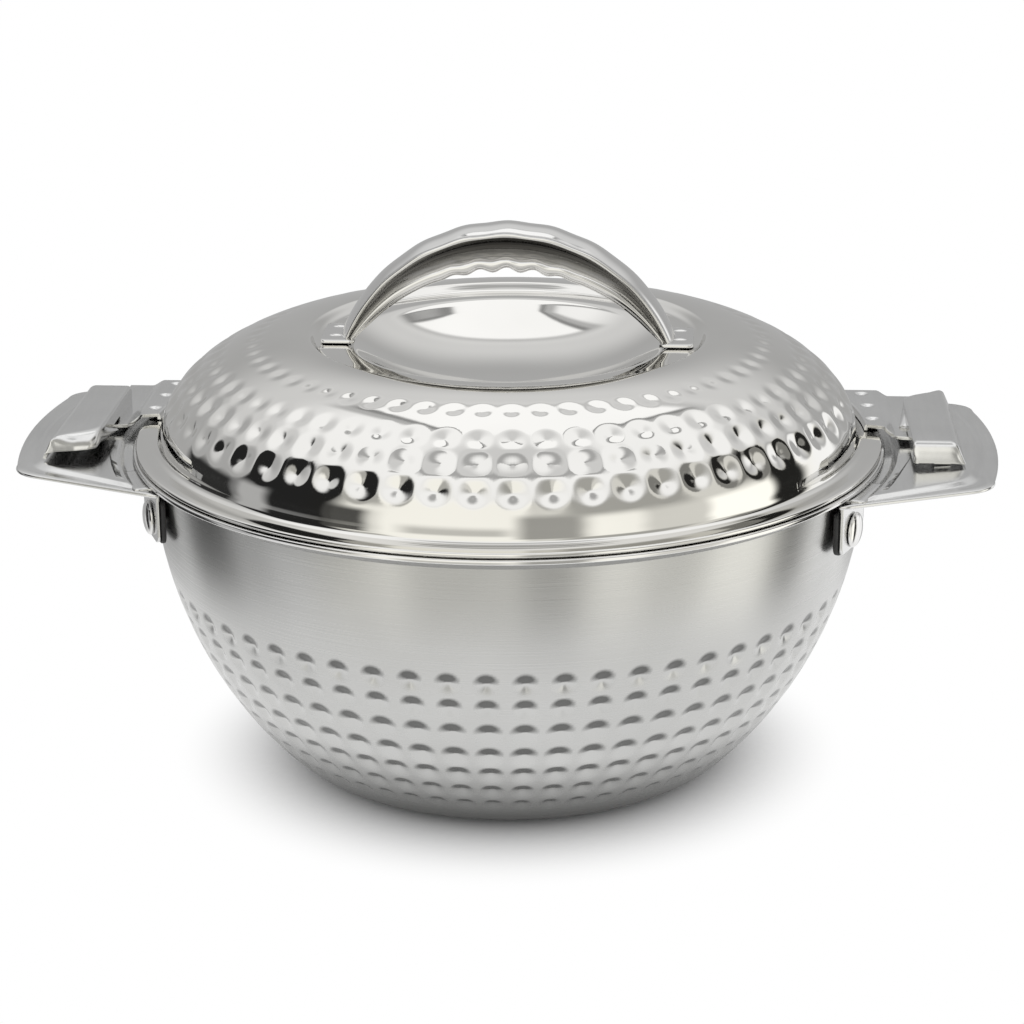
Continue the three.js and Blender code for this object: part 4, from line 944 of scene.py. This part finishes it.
def arch_grid():
    """Rings along the arch, closer together at its feet: a point is the lower arc's point + up-vector
    times its height in the section, with y across. The second result is the shade of each point."""
    share = np.sin(np.linspace(-1.0, 1.0, ARCH_RINGS) * np.pi / 2.0 * CROWDING)
    share /= math.sin(np.pi / 2.0 * CROWDING)
    top, under = arc(ARCH_SPAN, ARCH_RISE, share), arc(UNDER_SPAN, UNDER_RISE, share)
    height = np.linalg.norm(top - under, axis=1)
    lift = (top - under) / height[:, None]
    wave = wave_along(under[:, 0], FINGER_WAVE, FINGER_PITCH, FINGER_SPAN)
    crown_wave = wave_along(under[:, 0], CROWN_WAVE, CROWN_PITCH, CROWN_SPAN)
    rings, shades = [], []
    for k, (foot_x, foot_z) in enumerate(under):
        half, shade = arch_section(height[k])
        inner = half[::-1].copy()
        inner[:, 0] -= np.clip(inner[:, 0], 0.0, GRIP_SHEET)
        inner[:, 1] -= np.where(inner[:, 0] < 7.6, min(1.0, height[k] / 4.0), 0.0)
        loop = np.concatenate([half, inner])
        ring = np.concatenate([loop[:-1], (loop[::-1] * [-1.0, 1.0])[1:]])
        loop_shade = np.concatenate([shade, 0.0 * shade])
        shades.append(np.concatenate([loop_shade[:-1], loop_shade[::-1][1:]]))
        low_part = np.clip(1.0 - ring[:, 1] / 5.0, 0.0, 1.0)
        high_part = np.clip((ring[:, 1] - height[k] + 1.5) / 1.5, 0.0, 1.0)
        h = ring[:, 1] + wave[k] * low_part + crown_wave[k] * high_part
        rings.append(np.column_stack([foot_x + lift[k, 0] * h, ring[:, 0], foot_z + lift[k, 1] * h]))
    return np.stack(rings), np.concatenate(shades)


arch_rings, arch_shade = arch_grid()
print("rings in the arch:", len(arch_rings), "points in each:", arch_rings.shape[1])

# %% [markdown]
# The arch stands on two flat tabs, each held to the ledge by two small spot welds. Arch, tabs and
# welds are one piece here, because they are one part of the real lid.

# %% Tabs and welds of the top handle
TAB_HALF, TAB_START, TAB_STRAIGHT_END, TAB_ROUND, TAB_SHEET = 12.0, 52.5, 62.2, 2.0, 1.2
WELD_X, WELD_YS, LENS_LONG, LENS_SHORT, LENS_HIGH = 59.6, (-4.4, 7.4), 2.6, 1.5, 0.5


def foot_tab(sign):
    """Flat tab under a foot of the arch: a rounded rectangle strip along x, rounded at its end."""
    round_end = TAB_STRAIGHT_END + TAB_ROUND * np.sin(np.linspace(0.0, np.pi / 2.0, 8)[1:])
    x = np.concatenate([np.linspace(TAB_START, TAB_STRAIGHT_END, 6), round_end])
    half = TAB_HALF - drawn_in(TAB_ROUND, x - TAB_STRAIGHT_END)
    path = np.column_stack([sign * x, np.zeros(len(x)), np.full(len(x), ARCH_BASE + 0.6)])
    side, up_way = [0.0, 1.0, 0.0], [0.0, 0.0, 1.0]
    return capped(strip_grid(path, side, up_way, -half, half, TAB_SHEET, 0.5, 12))


def weld_lens(x, y):
    """Low oval dome: height 0.5 (1 - d^2) over an ellipse of 2.6 by 1.5 mm."""
    d = np.linspace(0.0, 1.0, 7)[1:, None]
    a = np.linspace(0.0, 2.0 * np.pi, 24, endpoint=False)
    z = ARCH_BASE + 1.15 + LENS_HIGH * (1.0 - d**2) + 0.0 * a
    ring = np.stack([x + LENS_LONG * d * np.cos(a), y + LENS_SHORT * d * np.sin(a), z], 2)
    return capped(np.concatenate([ring, ring[-1:] - [0.0, 0.0, 0.4]]))


tabs = [foot_tab(1.0), foot_tab(-1.0)]
lenses = [weld_lens(x, y) for x in (-WELD_X, WELD_X) for y in WELD_YS]
points, faces = merged(capped(arch_rings), *tabs, *lenses)
grip = new_piece("top_handle_form", points, faces, "lid", ["top_handle"])
painted(grip, "hollow", arch_shade)

# %% [markdown]
# Materials are node trees. Small helpers add a node, join two sockets, and build the steps that come
# back in every finish: a pattern on the object's own coordinates, a tone, a roughness and a bump. The
# world has a node tree too, so the same helpers serve for the studio.

# %% Helpers for materials
EVEN = (1.0, 1.0, 1.0)
MIX_SHARE, MIX_UNDER, MIX_OVER, MIX_RESULT = 0, 6, 7, 2


def add_node(owner, kind, settings=None, **sockets):
    """New node of a kind; settings are its own properties and sockets its unlinked inputs."""
    made = owner.node_tree.nodes.new(kind)
    for key, value in (settings or {}).items():
        setattr(made, key, value)
    for key, value in sockets.items():
        made.inputs[key].default_value = value
    return made


def wire(owner, source, output, target, socket):
    """Link from an output of one node to an input of another, by name or number."""
    owner.node_tree.links.new(source.outputs[output], target.inputs[socket])


def new_material(name):
    """Material with an empty principled shader, and its object coordinates."""
    material = bpy.data.materials.new(name)
    material.use_nodes = True
    shader = material.node_tree.nodes["Principled BSDF"]
    return material, shader, add_node(material, "ShaderNodeTexCoord")


def stretched(material, place, scale):
    """Object coordinates multiplied by a scale for each direction."""
    mapping = add_node(material, "ShaderNodeMapping", Scale=scale)
    wire(material, place, "Object", mapping, "Vector")
    return mapping


def noise(material, mapping, scale, detail, roughness=0.5):
    """Noise texture on mapped coordinates."""
    made = add_node(material, "ShaderNodeTexNoise", Scale=scale, Detail=detail, Roughness=roughness)
    wire(material, mapping, "Vector", made, "Vector")
    return made


def ranged(material, source, output, low, high, start=0.3, stop=0.7, kind="LINEAR"):
    """A value between start and stop mapped to low and high."""
    made = add_node(material, "ShaderNodeMapRange", {"interpolation_type": kind})
    ends = {"From Min": start, "From Max": stop, "To Min": low, "To Max": high}
    for socket, value in ends.items():
        made.inputs[socket].default_value = value
    wire(material, source, output, made, "Value")
    return made


def tinted(material, shader, source, output, dark, light, start=0.3, stop=0.7):
    """Base colour between two tones, by a ramp over a texture's value."""
    ramp = add_node(material, "ShaderNodeValToRGB")
    for stop_point, place, tone in zip(ramp.color_ramp.elements, (start, stop), (dark, light)):
        stop_point.position, stop_point.color = place, (*tone, 1.0)
    wire(material, source, output, ramp, "Fac")
    wire(material, ramp, "Color", shader, "Base Color")


def bumped(material, shader, source, output, strength, distance):
    """Bump by a texture's value; distance is its height in metres."""
    bump = add_node(material, "ShaderNodeBump", Strength=strength, Distance=distance)
    wire(material, source, output, bump, "Height")
    wire(material, bump, "Normal", shader, "Normal")


def attribute(material, name):
    """The number that was painted on each point."""
    return add_node(material, "ShaderNodeAttribute", {"attribute_name": name})


def laid_on(material, shader, source, output, colour):
    """Base colour + share (colour - base colour), for a share from 0 to 1."""
    base = shader.inputs["Base Color"].links[0].from_socket
    mix = add_node(material, "ShaderNodeMix", {"data_type": "RGBA"})
    mix.inputs[MIX_OVER].default_value = (*colour, 1.0)
    material.node_tree.links.new(base, mix.inputs[MIX_UNDER])
    wire(material, source, output, mix, MIX_SHARE)
    wire(material, mix, MIX_RESULT, shader, "Base Color")


def dress(material, *pieces):
    """Gives each object the material in all of its slots."""
    for piece in pieces:
        if not piece.data.materials:
            piece.data.materials.append(material)
        for place in piece.material_slots:
            place.material = material
    print(material.name, "on", len(pieces), "object" + "s" * (len(pieces) > 1))


print("materials so far, all of them of the solids:", len(bpy.data.materials))

# %% [markdown]
# Steel is a metal whose roughness and bump follow the very fine lines left by the brush or the
# polishing wheel, while its tone changes slowly, as with wear and wiping. A high number in the brush's
# scale means fine lines across that direction. Lines that run round a spun part also stretch its
# highlights, which is what the anisotropic settings do.

# %% Helper for steel
LINE_DETAIL, LINE_ROUGHNESS, CLOUD_SCALE, CLOUD_DETAIL = 3.0, 0.6, 28.0, 2.0


def steel(name, dark, light, roughness, brush, brush_strength, brush_depth, stretch=0.0):
    """Brushed or polished steel: brush is the pattern's scale in x, y and z, per metre."""
    material, shader, place = new_material(name)
    shader.inputs["Metallic"].default_value = 1.0
    lines = noise(material, stretched(material, place, brush), 1.0, LINE_DETAIL, LINE_ROUGHNESS)
    clouds = noise(material, stretched(material, place, EVEN), CLOUD_SCALE, CLOUD_DETAIL)
    tinted(material, shader, clouds, "Fac", dark, light)
    rough = ranged(material, lines, "Fac", roughness * 0.82, roughness * 1.2)
    wire(material, rough, "Result", shader, "Roughness")
    bumped(material, shader, lines, "Fac", brush_strength, brush_depth)
    if stretch:
        shader.inputs["Anisotropic Rotation"].default_value = 0.25
        shader.inputs["Anisotropic"].default_value = stretch
        around = {"direction_type": "RADIAL", "axis": "Z"}
        wire(material, add_node(material, "ShaderNodeTangent", around), "Tangent", shader, "Tangent")
    return material, shader


print("across its lines, a satin noise of scale 5200 has a period of", round(1000 / 5200, 2), "mm")

# %% [markdown]
# The bowl has a satin finish: it is brushed while it spins, so fine lines run round it and its
# highlights stretch upright. The hammer rubs the steel smoother in its dents, where the roughness
# drops to half. The dents' upper walls and the foot are given painted shade, a darker base colour that
# stands in for the shadowed floor they would mirror. The liner is brushed the same way, but finer.

# %% Satin steel
# The first tone is the painted shade for the foot and the dents' upper walls, then its largest share,
# then the heights in metres over which the foot's share fades out.
PAINTED_SHADE, PAINTED_SHADE_SHARE, FOOT_LOW, FOOT_HIGH = (0.07, 0.07, 0.068), 0.86, 0.002, 0.036

satin, shader = steel(
    "satin_bowl",
    (0.55, 0.55, 0.54),
    (0.59, 0.59, 0.58),
    roughness=0.3,
    brush=(12.0, 12.0, 5200.0),
    brush_strength=0.05,
    brush_depth=0.00001,
    stretch=0.6,
)
rubbed = add_node(satin, "ShaderNodeMath", {"operation": "MULTIPLY"})
satin.node_tree.links.new(shader.inputs["Roughness"].links[0].from_socket, rubbed.inputs[0])
smoothed = ranged(satin, attribute(satin, "pressed"), "Fac", 1.0, 0.5, 0.05, 0.6)
wire(satin, smoothed, "Result", rubbed, 1)
wire(satin, rubbed, "Value", shader, "Roughness")

# Painted shade: the base colour darkens towards the foot and on the dents' upper walls, for the
# shadowed floor that they would mirror.
height_of = add_node(satin, "ShaderNodeSeparateXYZ")
wire(satin, add_node(satin, "ShaderNodeTexCoord"), "Object", height_of, "Vector")
painted_foot_shade = ranged(satin, height_of, "Z", PAINTED_SHADE_SHARE, 0.0, FOOT_LOW, FOOT_HIGH)
painted_dent_shade = ranged(satin, attribute(satin, "dent_shade"), "Fac", 0.0, PAINTED_SHADE_SHARE, 0.05, 0.8)
shade_share = add_node(satin, "ShaderNodeMath", {"operation": "MAXIMUM"})
wire(satin, painted_foot_shade, "Result", shade_share, 0)
wire(satin, painted_dent_shade, "Result", shade_share, 1)
laid_on(satin, shader, shade_share, "Value", PAINTED_SHADE)
dress(satin, bowl_skin)

liner_steel, shader = steel(
    "brushed_liner",
    (0.62, 0.62, 0.61),
    (0.68, 0.68, 0.67),
    roughness=0.24,
    brush=(40.0, 40.0, 1800.0),
    brush_strength=0.08,
    brush_depth=0.00002,
    stretch=0.5,
)
dress(liner_steel, liner_skin)
base_steel, shader = steel(
    "ground_base",
    (0.55, 0.55, 0.545),
    (0.62, 0.62, 0.61),
    roughness=0.34,
    brush=(500.0, 500.0, 500.0),
    brush_strength=0.1,
    brush_depth=0.00002,
)
dress(base_steel, base_disc, *[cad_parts[f"rivet_washer_{name}"] for name in PLACES])

# %% [markdown]
# The lid is polished to a mirror. Even good polishing leaves slow waves in thin sheet, so a wide,
# very shallow bump bends the reflections a little. Handles and straps are polished less: their
# reflections are soft and streaked along the grain of the strip. The grip is bright too, and its
# hollow side is darkened by the shade that was painted on it.

# %% Polished steel
TRIM_DARK, TRIM_LIGHT, TRIM_BRUSH = (0.74, 0.735, 0.725), (0.80, 0.795, 0.785), (90.0, 900.0, 400.0)
HOLLOW_TONE = (0.03, 0.028, 0.026)

mirror, shader = steel(
    "mirror_lid",
    (0.75, 0.742, 0.72),
    (0.79, 0.782, 0.76),
    roughness=0.045,
    brush=(60.0, 60.0, 60.0),
    brush_strength=0.05,
    brush_depth=0.0002,
)
dress(mirror, lid_skin)
bright, shader = steel("bright_trim", TRIM_DARK, TRIM_LIGHT, 0.1, TRIM_BRUSH, 0.05, 0.00003)
dress(bright, rim_band, pan_skin, *rivets)
grip_steel, shader = steel("grip_steel", TRIM_DARK, TRIM_LIGHT, 0.08, TRIM_BRUSH, 0.02, 0.00001)
laid_on(grip_steel, shader, attribute(grip_steel, "hollow"), "Fac", HOLLOW_TONE)
dress(grip_steel, grip)
pressed, shader = steel(
    "pressed_handle",
    (0.66, 0.66, 0.655),
    (0.74, 0.74, 0.735),
    roughness=0.17,
    brush=(700.0, 60.0, 300.0),
    brush_strength=0.08,
    brush_depth=0.00003,
)
keepers = [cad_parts["keeper_right"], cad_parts["keeper_left"]]
dress(pressed, *handles, *straps, *caps, *keepers)

# %% [markdown]
# The spacers are matt black rubber, the seal is pale silicone, and the insulation between the walls
# is rigid foam with a fine cell pattern. The foam is closed in, but it has its finish too. In each of
# them one texture drives tone, roughness and bump together, as a real grain does.

# %% Rubber, silicone and foam
def grained(name, texture, output, dark, light, rough, bump, spread=(0.3, 0.7)):
    """Material whose tone, roughness and bump all follow one texture. texture is a function of the
    material and its mapped coordinates."""
    material, shader, place = new_material(name)
    grain = texture(material, stretched(material, place, EVEN))
    tinted(material, shader, grain, output, dark, light, *spread)
    wire(material, ranged(material, grain, output, *rough), "Result", shader, "Roughness")
    bumped(material, shader, grain, output, *bump)
    return material


def rubber_grain(material, mapping):
    """Fine noise, about a millimetre from grain to grain."""
    return noise(material, mapping, 900.0, 4.0)


def silicone_cloud(material, mapping):
    """Soft, wide noise."""
    return noise(material, mapping, 120.0, 3.0)


def foam_cells(material, mapping):
    """Voronoi cells of about one and a half millimetres."""
    cells = add_node(material, "ShaderNodeTexVoronoi", Scale=700.0)
    wire(material, mapping, "Vector", cells, "Vector")
    return cells


BLACK, DARK_GREY = (0.012, 0.012, 0.012), (0.03, 0.03, 0.03)
rubber = grained("spacer_rubber", rubber_grain, "Fac", BLACK, DARK_GREY, (0.55, 0.8), (0.3, 0.0001))
dress(rubber, *pads)

MILKY, PALE = (0.60, 0.60, 0.58), (0.70, 0.70, 0.68)
silicone = grained("seal_silicone", silicone_cloud, "Fac", MILKY, PALE, (0.4, 0.55), (0.1, 0.0001))
dress(silicone, seal_lips)

HONEY, CREAM = (0.80, 0.70, 0.45), (0.90, 0.82, 0.60)
foam = grained(
    "insulating_foam", foam_cells, "Distance", HONEY, CREAM, (0.8, 0.95), (0.5, 0.0004), (0.1, 0.6)
)
dress(foam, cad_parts["bowl_insulation"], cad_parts["lid_insulation"])

# %% [markdown]
# The floor is a wide white disc. Near the object it takes light and shadow as paper does; further
# out it fades to an even white, so that it meets the white background without a line. A photographer's
# table has an end: beyond a hand's width, mirror rays pass through the disc to the studio behind it.

# %% Floor
FLOOR_RADIUS, FLOOR_INNER, FLOOR_RINGS, FLOOR_COLUMNS = 6000.0, 60.0, 40, 96
SHADOW_NEAR, SHADOW_FAR, TABLE_NEAR, TABLE_FAR = 0.065, 0.122, 0.19, 0.3

radii = np.geomspace(FLOOR_INNER, FLOOR_RADIUS, FLOOR_RINGS)
floor_grid = spun(np.column_stack([radii, np.zeros(FLOOR_RINGS)]), FLOOR_COLUMNS)
points = joined(floor_grid.reshape(-1, 3), (0.0, 0.0, 0.0))
middle_fan = fan(np.arange(FLOOR_COLUMNS), len(points) - 1, reverse=True)
corner_lists = [
    list(map(int, corner))
    for part in (grid_squares(FLOOR_RINGS, FLOOR_COLUMNS), middle_fan)
    for corner in part[:, ::-1]
]
mesh = bpy.data.meshes.new("floor")
mesh.from_pydata((points * MILLIMETRE).tolist(), [], corner_lists)
floor = bpy.data.objects.new("floor", mesh)
bpy.context.scene.collection.objects.link(floor)

paper, shader, place = new_material("white_paper")
grain = noise(paper, stretched(paper, place, EVEN), 300.0, 3.0)
tinted(paper, shader, grain, "Fac", (0.90, 0.90, 0.90), (0.93, 0.93, 0.93))
wire(paper, ranged(paper, grain, "Fac", 0.9, 1.0), "Result", shader, "Roughness")
shader.inputs["Specular IOR Level"].default_value = 0.0
distance = add_node(paper, "ShaderNodeVectorMath", {"operation": "LENGTH"})
wire(paper, place, "Object", distance, "Vector")
fade = ranged(paper, distance, "Value", 0.0, 1.0, SHADOW_NEAR, SHADOW_FAR, "SMOOTHSTEP")
white = add_node(paper, "ShaderNodeEmission", Strength=1.0)
near = add_node(paper, "ShaderNodeMixShader")
wire(paper, fade, "Result", near, "Fac")
wire(paper, shader, "BSDF", near, 1)
wire(paper, white, "Emission", near, 2)

table_end = ranged(paper, distance, "Value", 0.0, 1.0, TABLE_NEAR, TABLE_FAR, "SMOOTHSTEP")
hidden = add_node(paper, "ShaderNodeMath", {"operation": "MULTIPLY"})
wire(paper, table_end, "Result", hidden, 0)
wire(paper, add_node(paper, "ShaderNodeLightPath"), "Is Glossy Ray", hidden, 1)
far = add_node(paper, "ShaderNodeMixShader")
wire(paper, hidden, "Value", far, "Fac")
wire(paper, near, "Shader", far, 1)
wire(paper, add_node(paper, "ShaderNodeBsdfTransparent"), "BSDF", far, 2)
wire(paper, far, "Shader", paper.node_tree.nodes["Material Output"], "Surface")
dress(paper, floor)

# %% [markdown]
# A mirror is only as good as what stands round it. The studio is a light tent, and it is a function
# of direction in the world's nodes: of the side angle, which is 0 at the viewer and 90 at the
# right-hand handle, and of the height angle. These helpers write such a function as arithmetic.

# %% Helpers for the studio
DEGREES = 180.0 / math.pi
world = bpy.data.worlds.new("studio")
bpy.context.scene.world = world
world.use_nodes = True
world.cycles.sampling_method = "NONE"
parts = add_node(world, "ShaderNodeSeparateXYZ")
wire(world, add_node(world, "ShaderNodeTexCoord"), "Generated", parts, "Vector")


def arithmetic(operation, *values):
    """Math node whose inputs are numbers or the outputs of other nodes."""
    made = add_node(world, "ShaderNodeMath", {"operation": operation})
    for socket, value in zip(made.inputs, values):
        if isinstance(value, (int, float)):
            socket.default_value = value
        else:
            world.node_tree.links.new(value, socket)
    return made.outputs[0]


def soft_step(value, start, stop):
    """0 up to start, 1 from stop on, and a smooth step between them."""
    made = add_node(world, "ShaderNodeMapRange", {"interpolation_type": "SMOOTHSTEP"})
    made.inputs["From Min"].default_value = start
    made.inputs["From Max"].default_value = stop
    world.node_tree.links.new(value, made.inputs["Value"])
    return made.outputs["Result"]


def window(value, low, high, soft):
    """1 between low and high, falling smoothly to 0 over soft on each side."""
    rise = soft_step(value, low - soft, low + soft)
    return arithmetic("MULTIPLY", rise, soft_step(value, high + soft, high - soft))


front = arithmetic("MULTIPLY", parts.outputs["Y"], -1.0)
azimuth = arithmetic("MULTIPLY", arithmetic("ARCTAN2", parts.outputs["X"], front), DEGREES)
height = arithmetic("MULTIPLY", arithmetic("ARCSINE", parts.outputs["Z"]), DEGREES)
print("nodes for the direction:", len(world.node_tree.nodes))

# %% [markdown]
# The tent is grey low down, brighter overhead, and grey again at the very top. In it stand white
# cards and black flags, which draw the pale and dark bands on the lid. Each has a range of the side
# angle, a range of height, a brightness and a soft edge, in degrees, and is laid over those before it.

# %% Cards of the studio
EDGE_IN_HEIGHT = 1.6
CARDS = [
    ((-60.0, 70.0, 66.0, 78.0), 0.48, 3.0),
    ((151.0, 209.0, 44.0, 68.0), 0.55, 1.5),
    ((154.5, 205.5, 46.0, 70.0), 0.3, 1.0),
    ((157.0, 203.0, 46.0, 72.0), 1.2, 1.0),
    ((-50.0, 96.0, -70.0, 46.0), 0.80, 4.0),
    ((-50.0, 9.0, 17.0, 50.0), 1.12, 4.0),
    ((-38.0, 8.0, -70.0, 46.0), 1.15, 4.0),
    ((-30.0, 4.0, -70.0, -4.0), 0.65, 5.0),
    ((-90.0, -38.0, 24.0, 44.0), 0.5, 4.0),
    ((7.0, 27.0, -70.0, 20.0), 0.4, 4.0),
    ((22.0, 66.0, 16.0, 46.0), 0.45, 5.0),
    ((29.0, 47.0, -70.0, 15.0), 1.15, 4.0),
    ((70.0, 97.0, -70.0, 13.0), 1.35, 3.0),
    ((82.0, 97.0, 20.0, 44.0), 0.25, 3.0),
    ((97.0, 112.0, -70.0, 44.0), 0.02, 3.0),
    ((113.0, 134.0, -70.0, 19.0), 1.15, 3.0),
    ((134.0, 150.0, -70.0, -4.0), 1.1, 3.0),
    ((-130.0, -38.0, -70.0, -14.0), 0.85, 3.0),
    ((-57.0, -42.0, -14.0, 15.0), 0.09, 3.0),
    ((-93.0, -55.0, -14.0, 45.0), 0.02, 3.0),
    ((-92.0, -79.0, -70.0, 11.0), 0.5, 3.0),
    ((-121.0, -94.0, -70.0, 8.0), 0.03, 3.0),
]


def laid_over(light, card, brightness, edge):
    """light + mask (brightness - light). The mask is 1 within half a width of the card's side angle,
    counted the short way round, and between its two heights."""
    low_az, high_az, low_el, high_el = card
    middle, half = (low_az + high_az) / 2.0, (high_az - low_az) / 2.0
    from_middle = arithmetic("WRAP", arithmetic("SUBTRACT", azimuth, middle), 180.0, -180.0)
    beside = soft_step(arithmetic("ABSOLUTE", from_middle), half + edge, half - edge)
    mask = arithmetic("MULTIPLY", beside, window(height, low_el, high_el, EDGE_IN_HEIGHT * edge))
    step = arithmetic("MULTIPLY", mask, arithmetic("SUBTRACT", brightness, light))
    return arithmetic("ADD", light, step)


tone = arithmetic("ADD", 0.46, arithmetic("MULTIPLY", soft_step(height, 16.0, 36.0), 0.3))
tone = arithmetic("ADD", tone, arithmetic("MULTIPLY", soft_step(height, 38.0, 56.0), 0.36))
tone = arithmetic("SUBTRACT", tone, arithmetic("MULTIPLY", soft_step(height, 68.0, 84.0), 0.36))
for card, brightness, edge in CARDS:
    tone = laid_over(tone, card, brightness, edge)
print("cards and flags in the tent:", len(CARDS))

# %% [markdown]
# Only mirror rays see the cards. The camera sees plain white behind the object, and all other rays
# find the same light on every side. What the mirrors show of the front is slightly warm. The world's
# sampling is off, so it isn't used as a lamp: satin steel finds it by mirror rays only, and so it
# shows the cards and not the even light.

# %% Light of the studio
SIDE_LIGHT, COOL, WARM = 0.75, (1.0, 1.0, 1.0, 1.0), (1.0, 0.985, 0.92, 1.0)

background = world.node_tree.nodes["Background"]
paths = add_node(world, "ShaderNodeLightPath")
seen = paths.outputs["Is Camera Ray"]
unseen = arithmetic("SUBTRACT", 1.0, seen)
mirrored = arithmetic("MULTIPLY", paths.outputs["Is Glossy Ray"], unseen)
others = arithmetic("SUBTRACT", unseen, mirrored)
strength = arithmetic("ADD", seen, arithmetic("MULTIPLY", tone, mirrored))
strength = arithmetic("ADD", strength, arithmetic("MULTIPLY", others, SIDE_LIGHT))
world.node_tree.links.new(strength, background.inputs["Strength"])

warm_part = arithmetic("MULTIPLY", window(azimuth, -60.0, 115.0, 8.0), soft_step(height, 55.0, 35.0))
warm = add_node(world, "ShaderNodeMix", {"data_type": "RGBA"})
world.node_tree.links.new(arithmetic("MULTIPLY", warm_part, mirrored), warm.inputs[MIX_SHARE])
warm.inputs[MIX_UNDER].default_value = COOL
warm.inputs[MIX_OVER].default_value = WARM
wire(world, warm, MIX_RESULT, background, "Color")
print("nodes in the studio:", len(world.node_tree.nodes))

# %% [markdown]
# One large soft lamp hangs right overhead. It gives the floor its tight, dark contact shadow, which
# light from the sides alone would wash out. The tent already stands for its reflection in the steel,
# so the lamp itself is hidden from mirror rays.

# %% Lamp
lamp = bpy.data.objects.new("overhead", bpy.data.lights.new("overhead", "AREA"))
lamp.data.shape = "SQUARE"
lamp.data.size = 1.0
lamp.data.energy = 11.0
lamp.location = (0.0, 0.05, 1.3)
lamp.visible_glossy = False
bpy.context.scene.collection.objects.link(lamp)
print("lamp of", lamp.data.energy, "watts at a height of", round(lamp.location.z, 2), "m")

# %% [markdown]
# The Standard view shows a colour about as it is written.

# %% Finish
bpy.context.scene.view_settings.view_transform = "Standard"
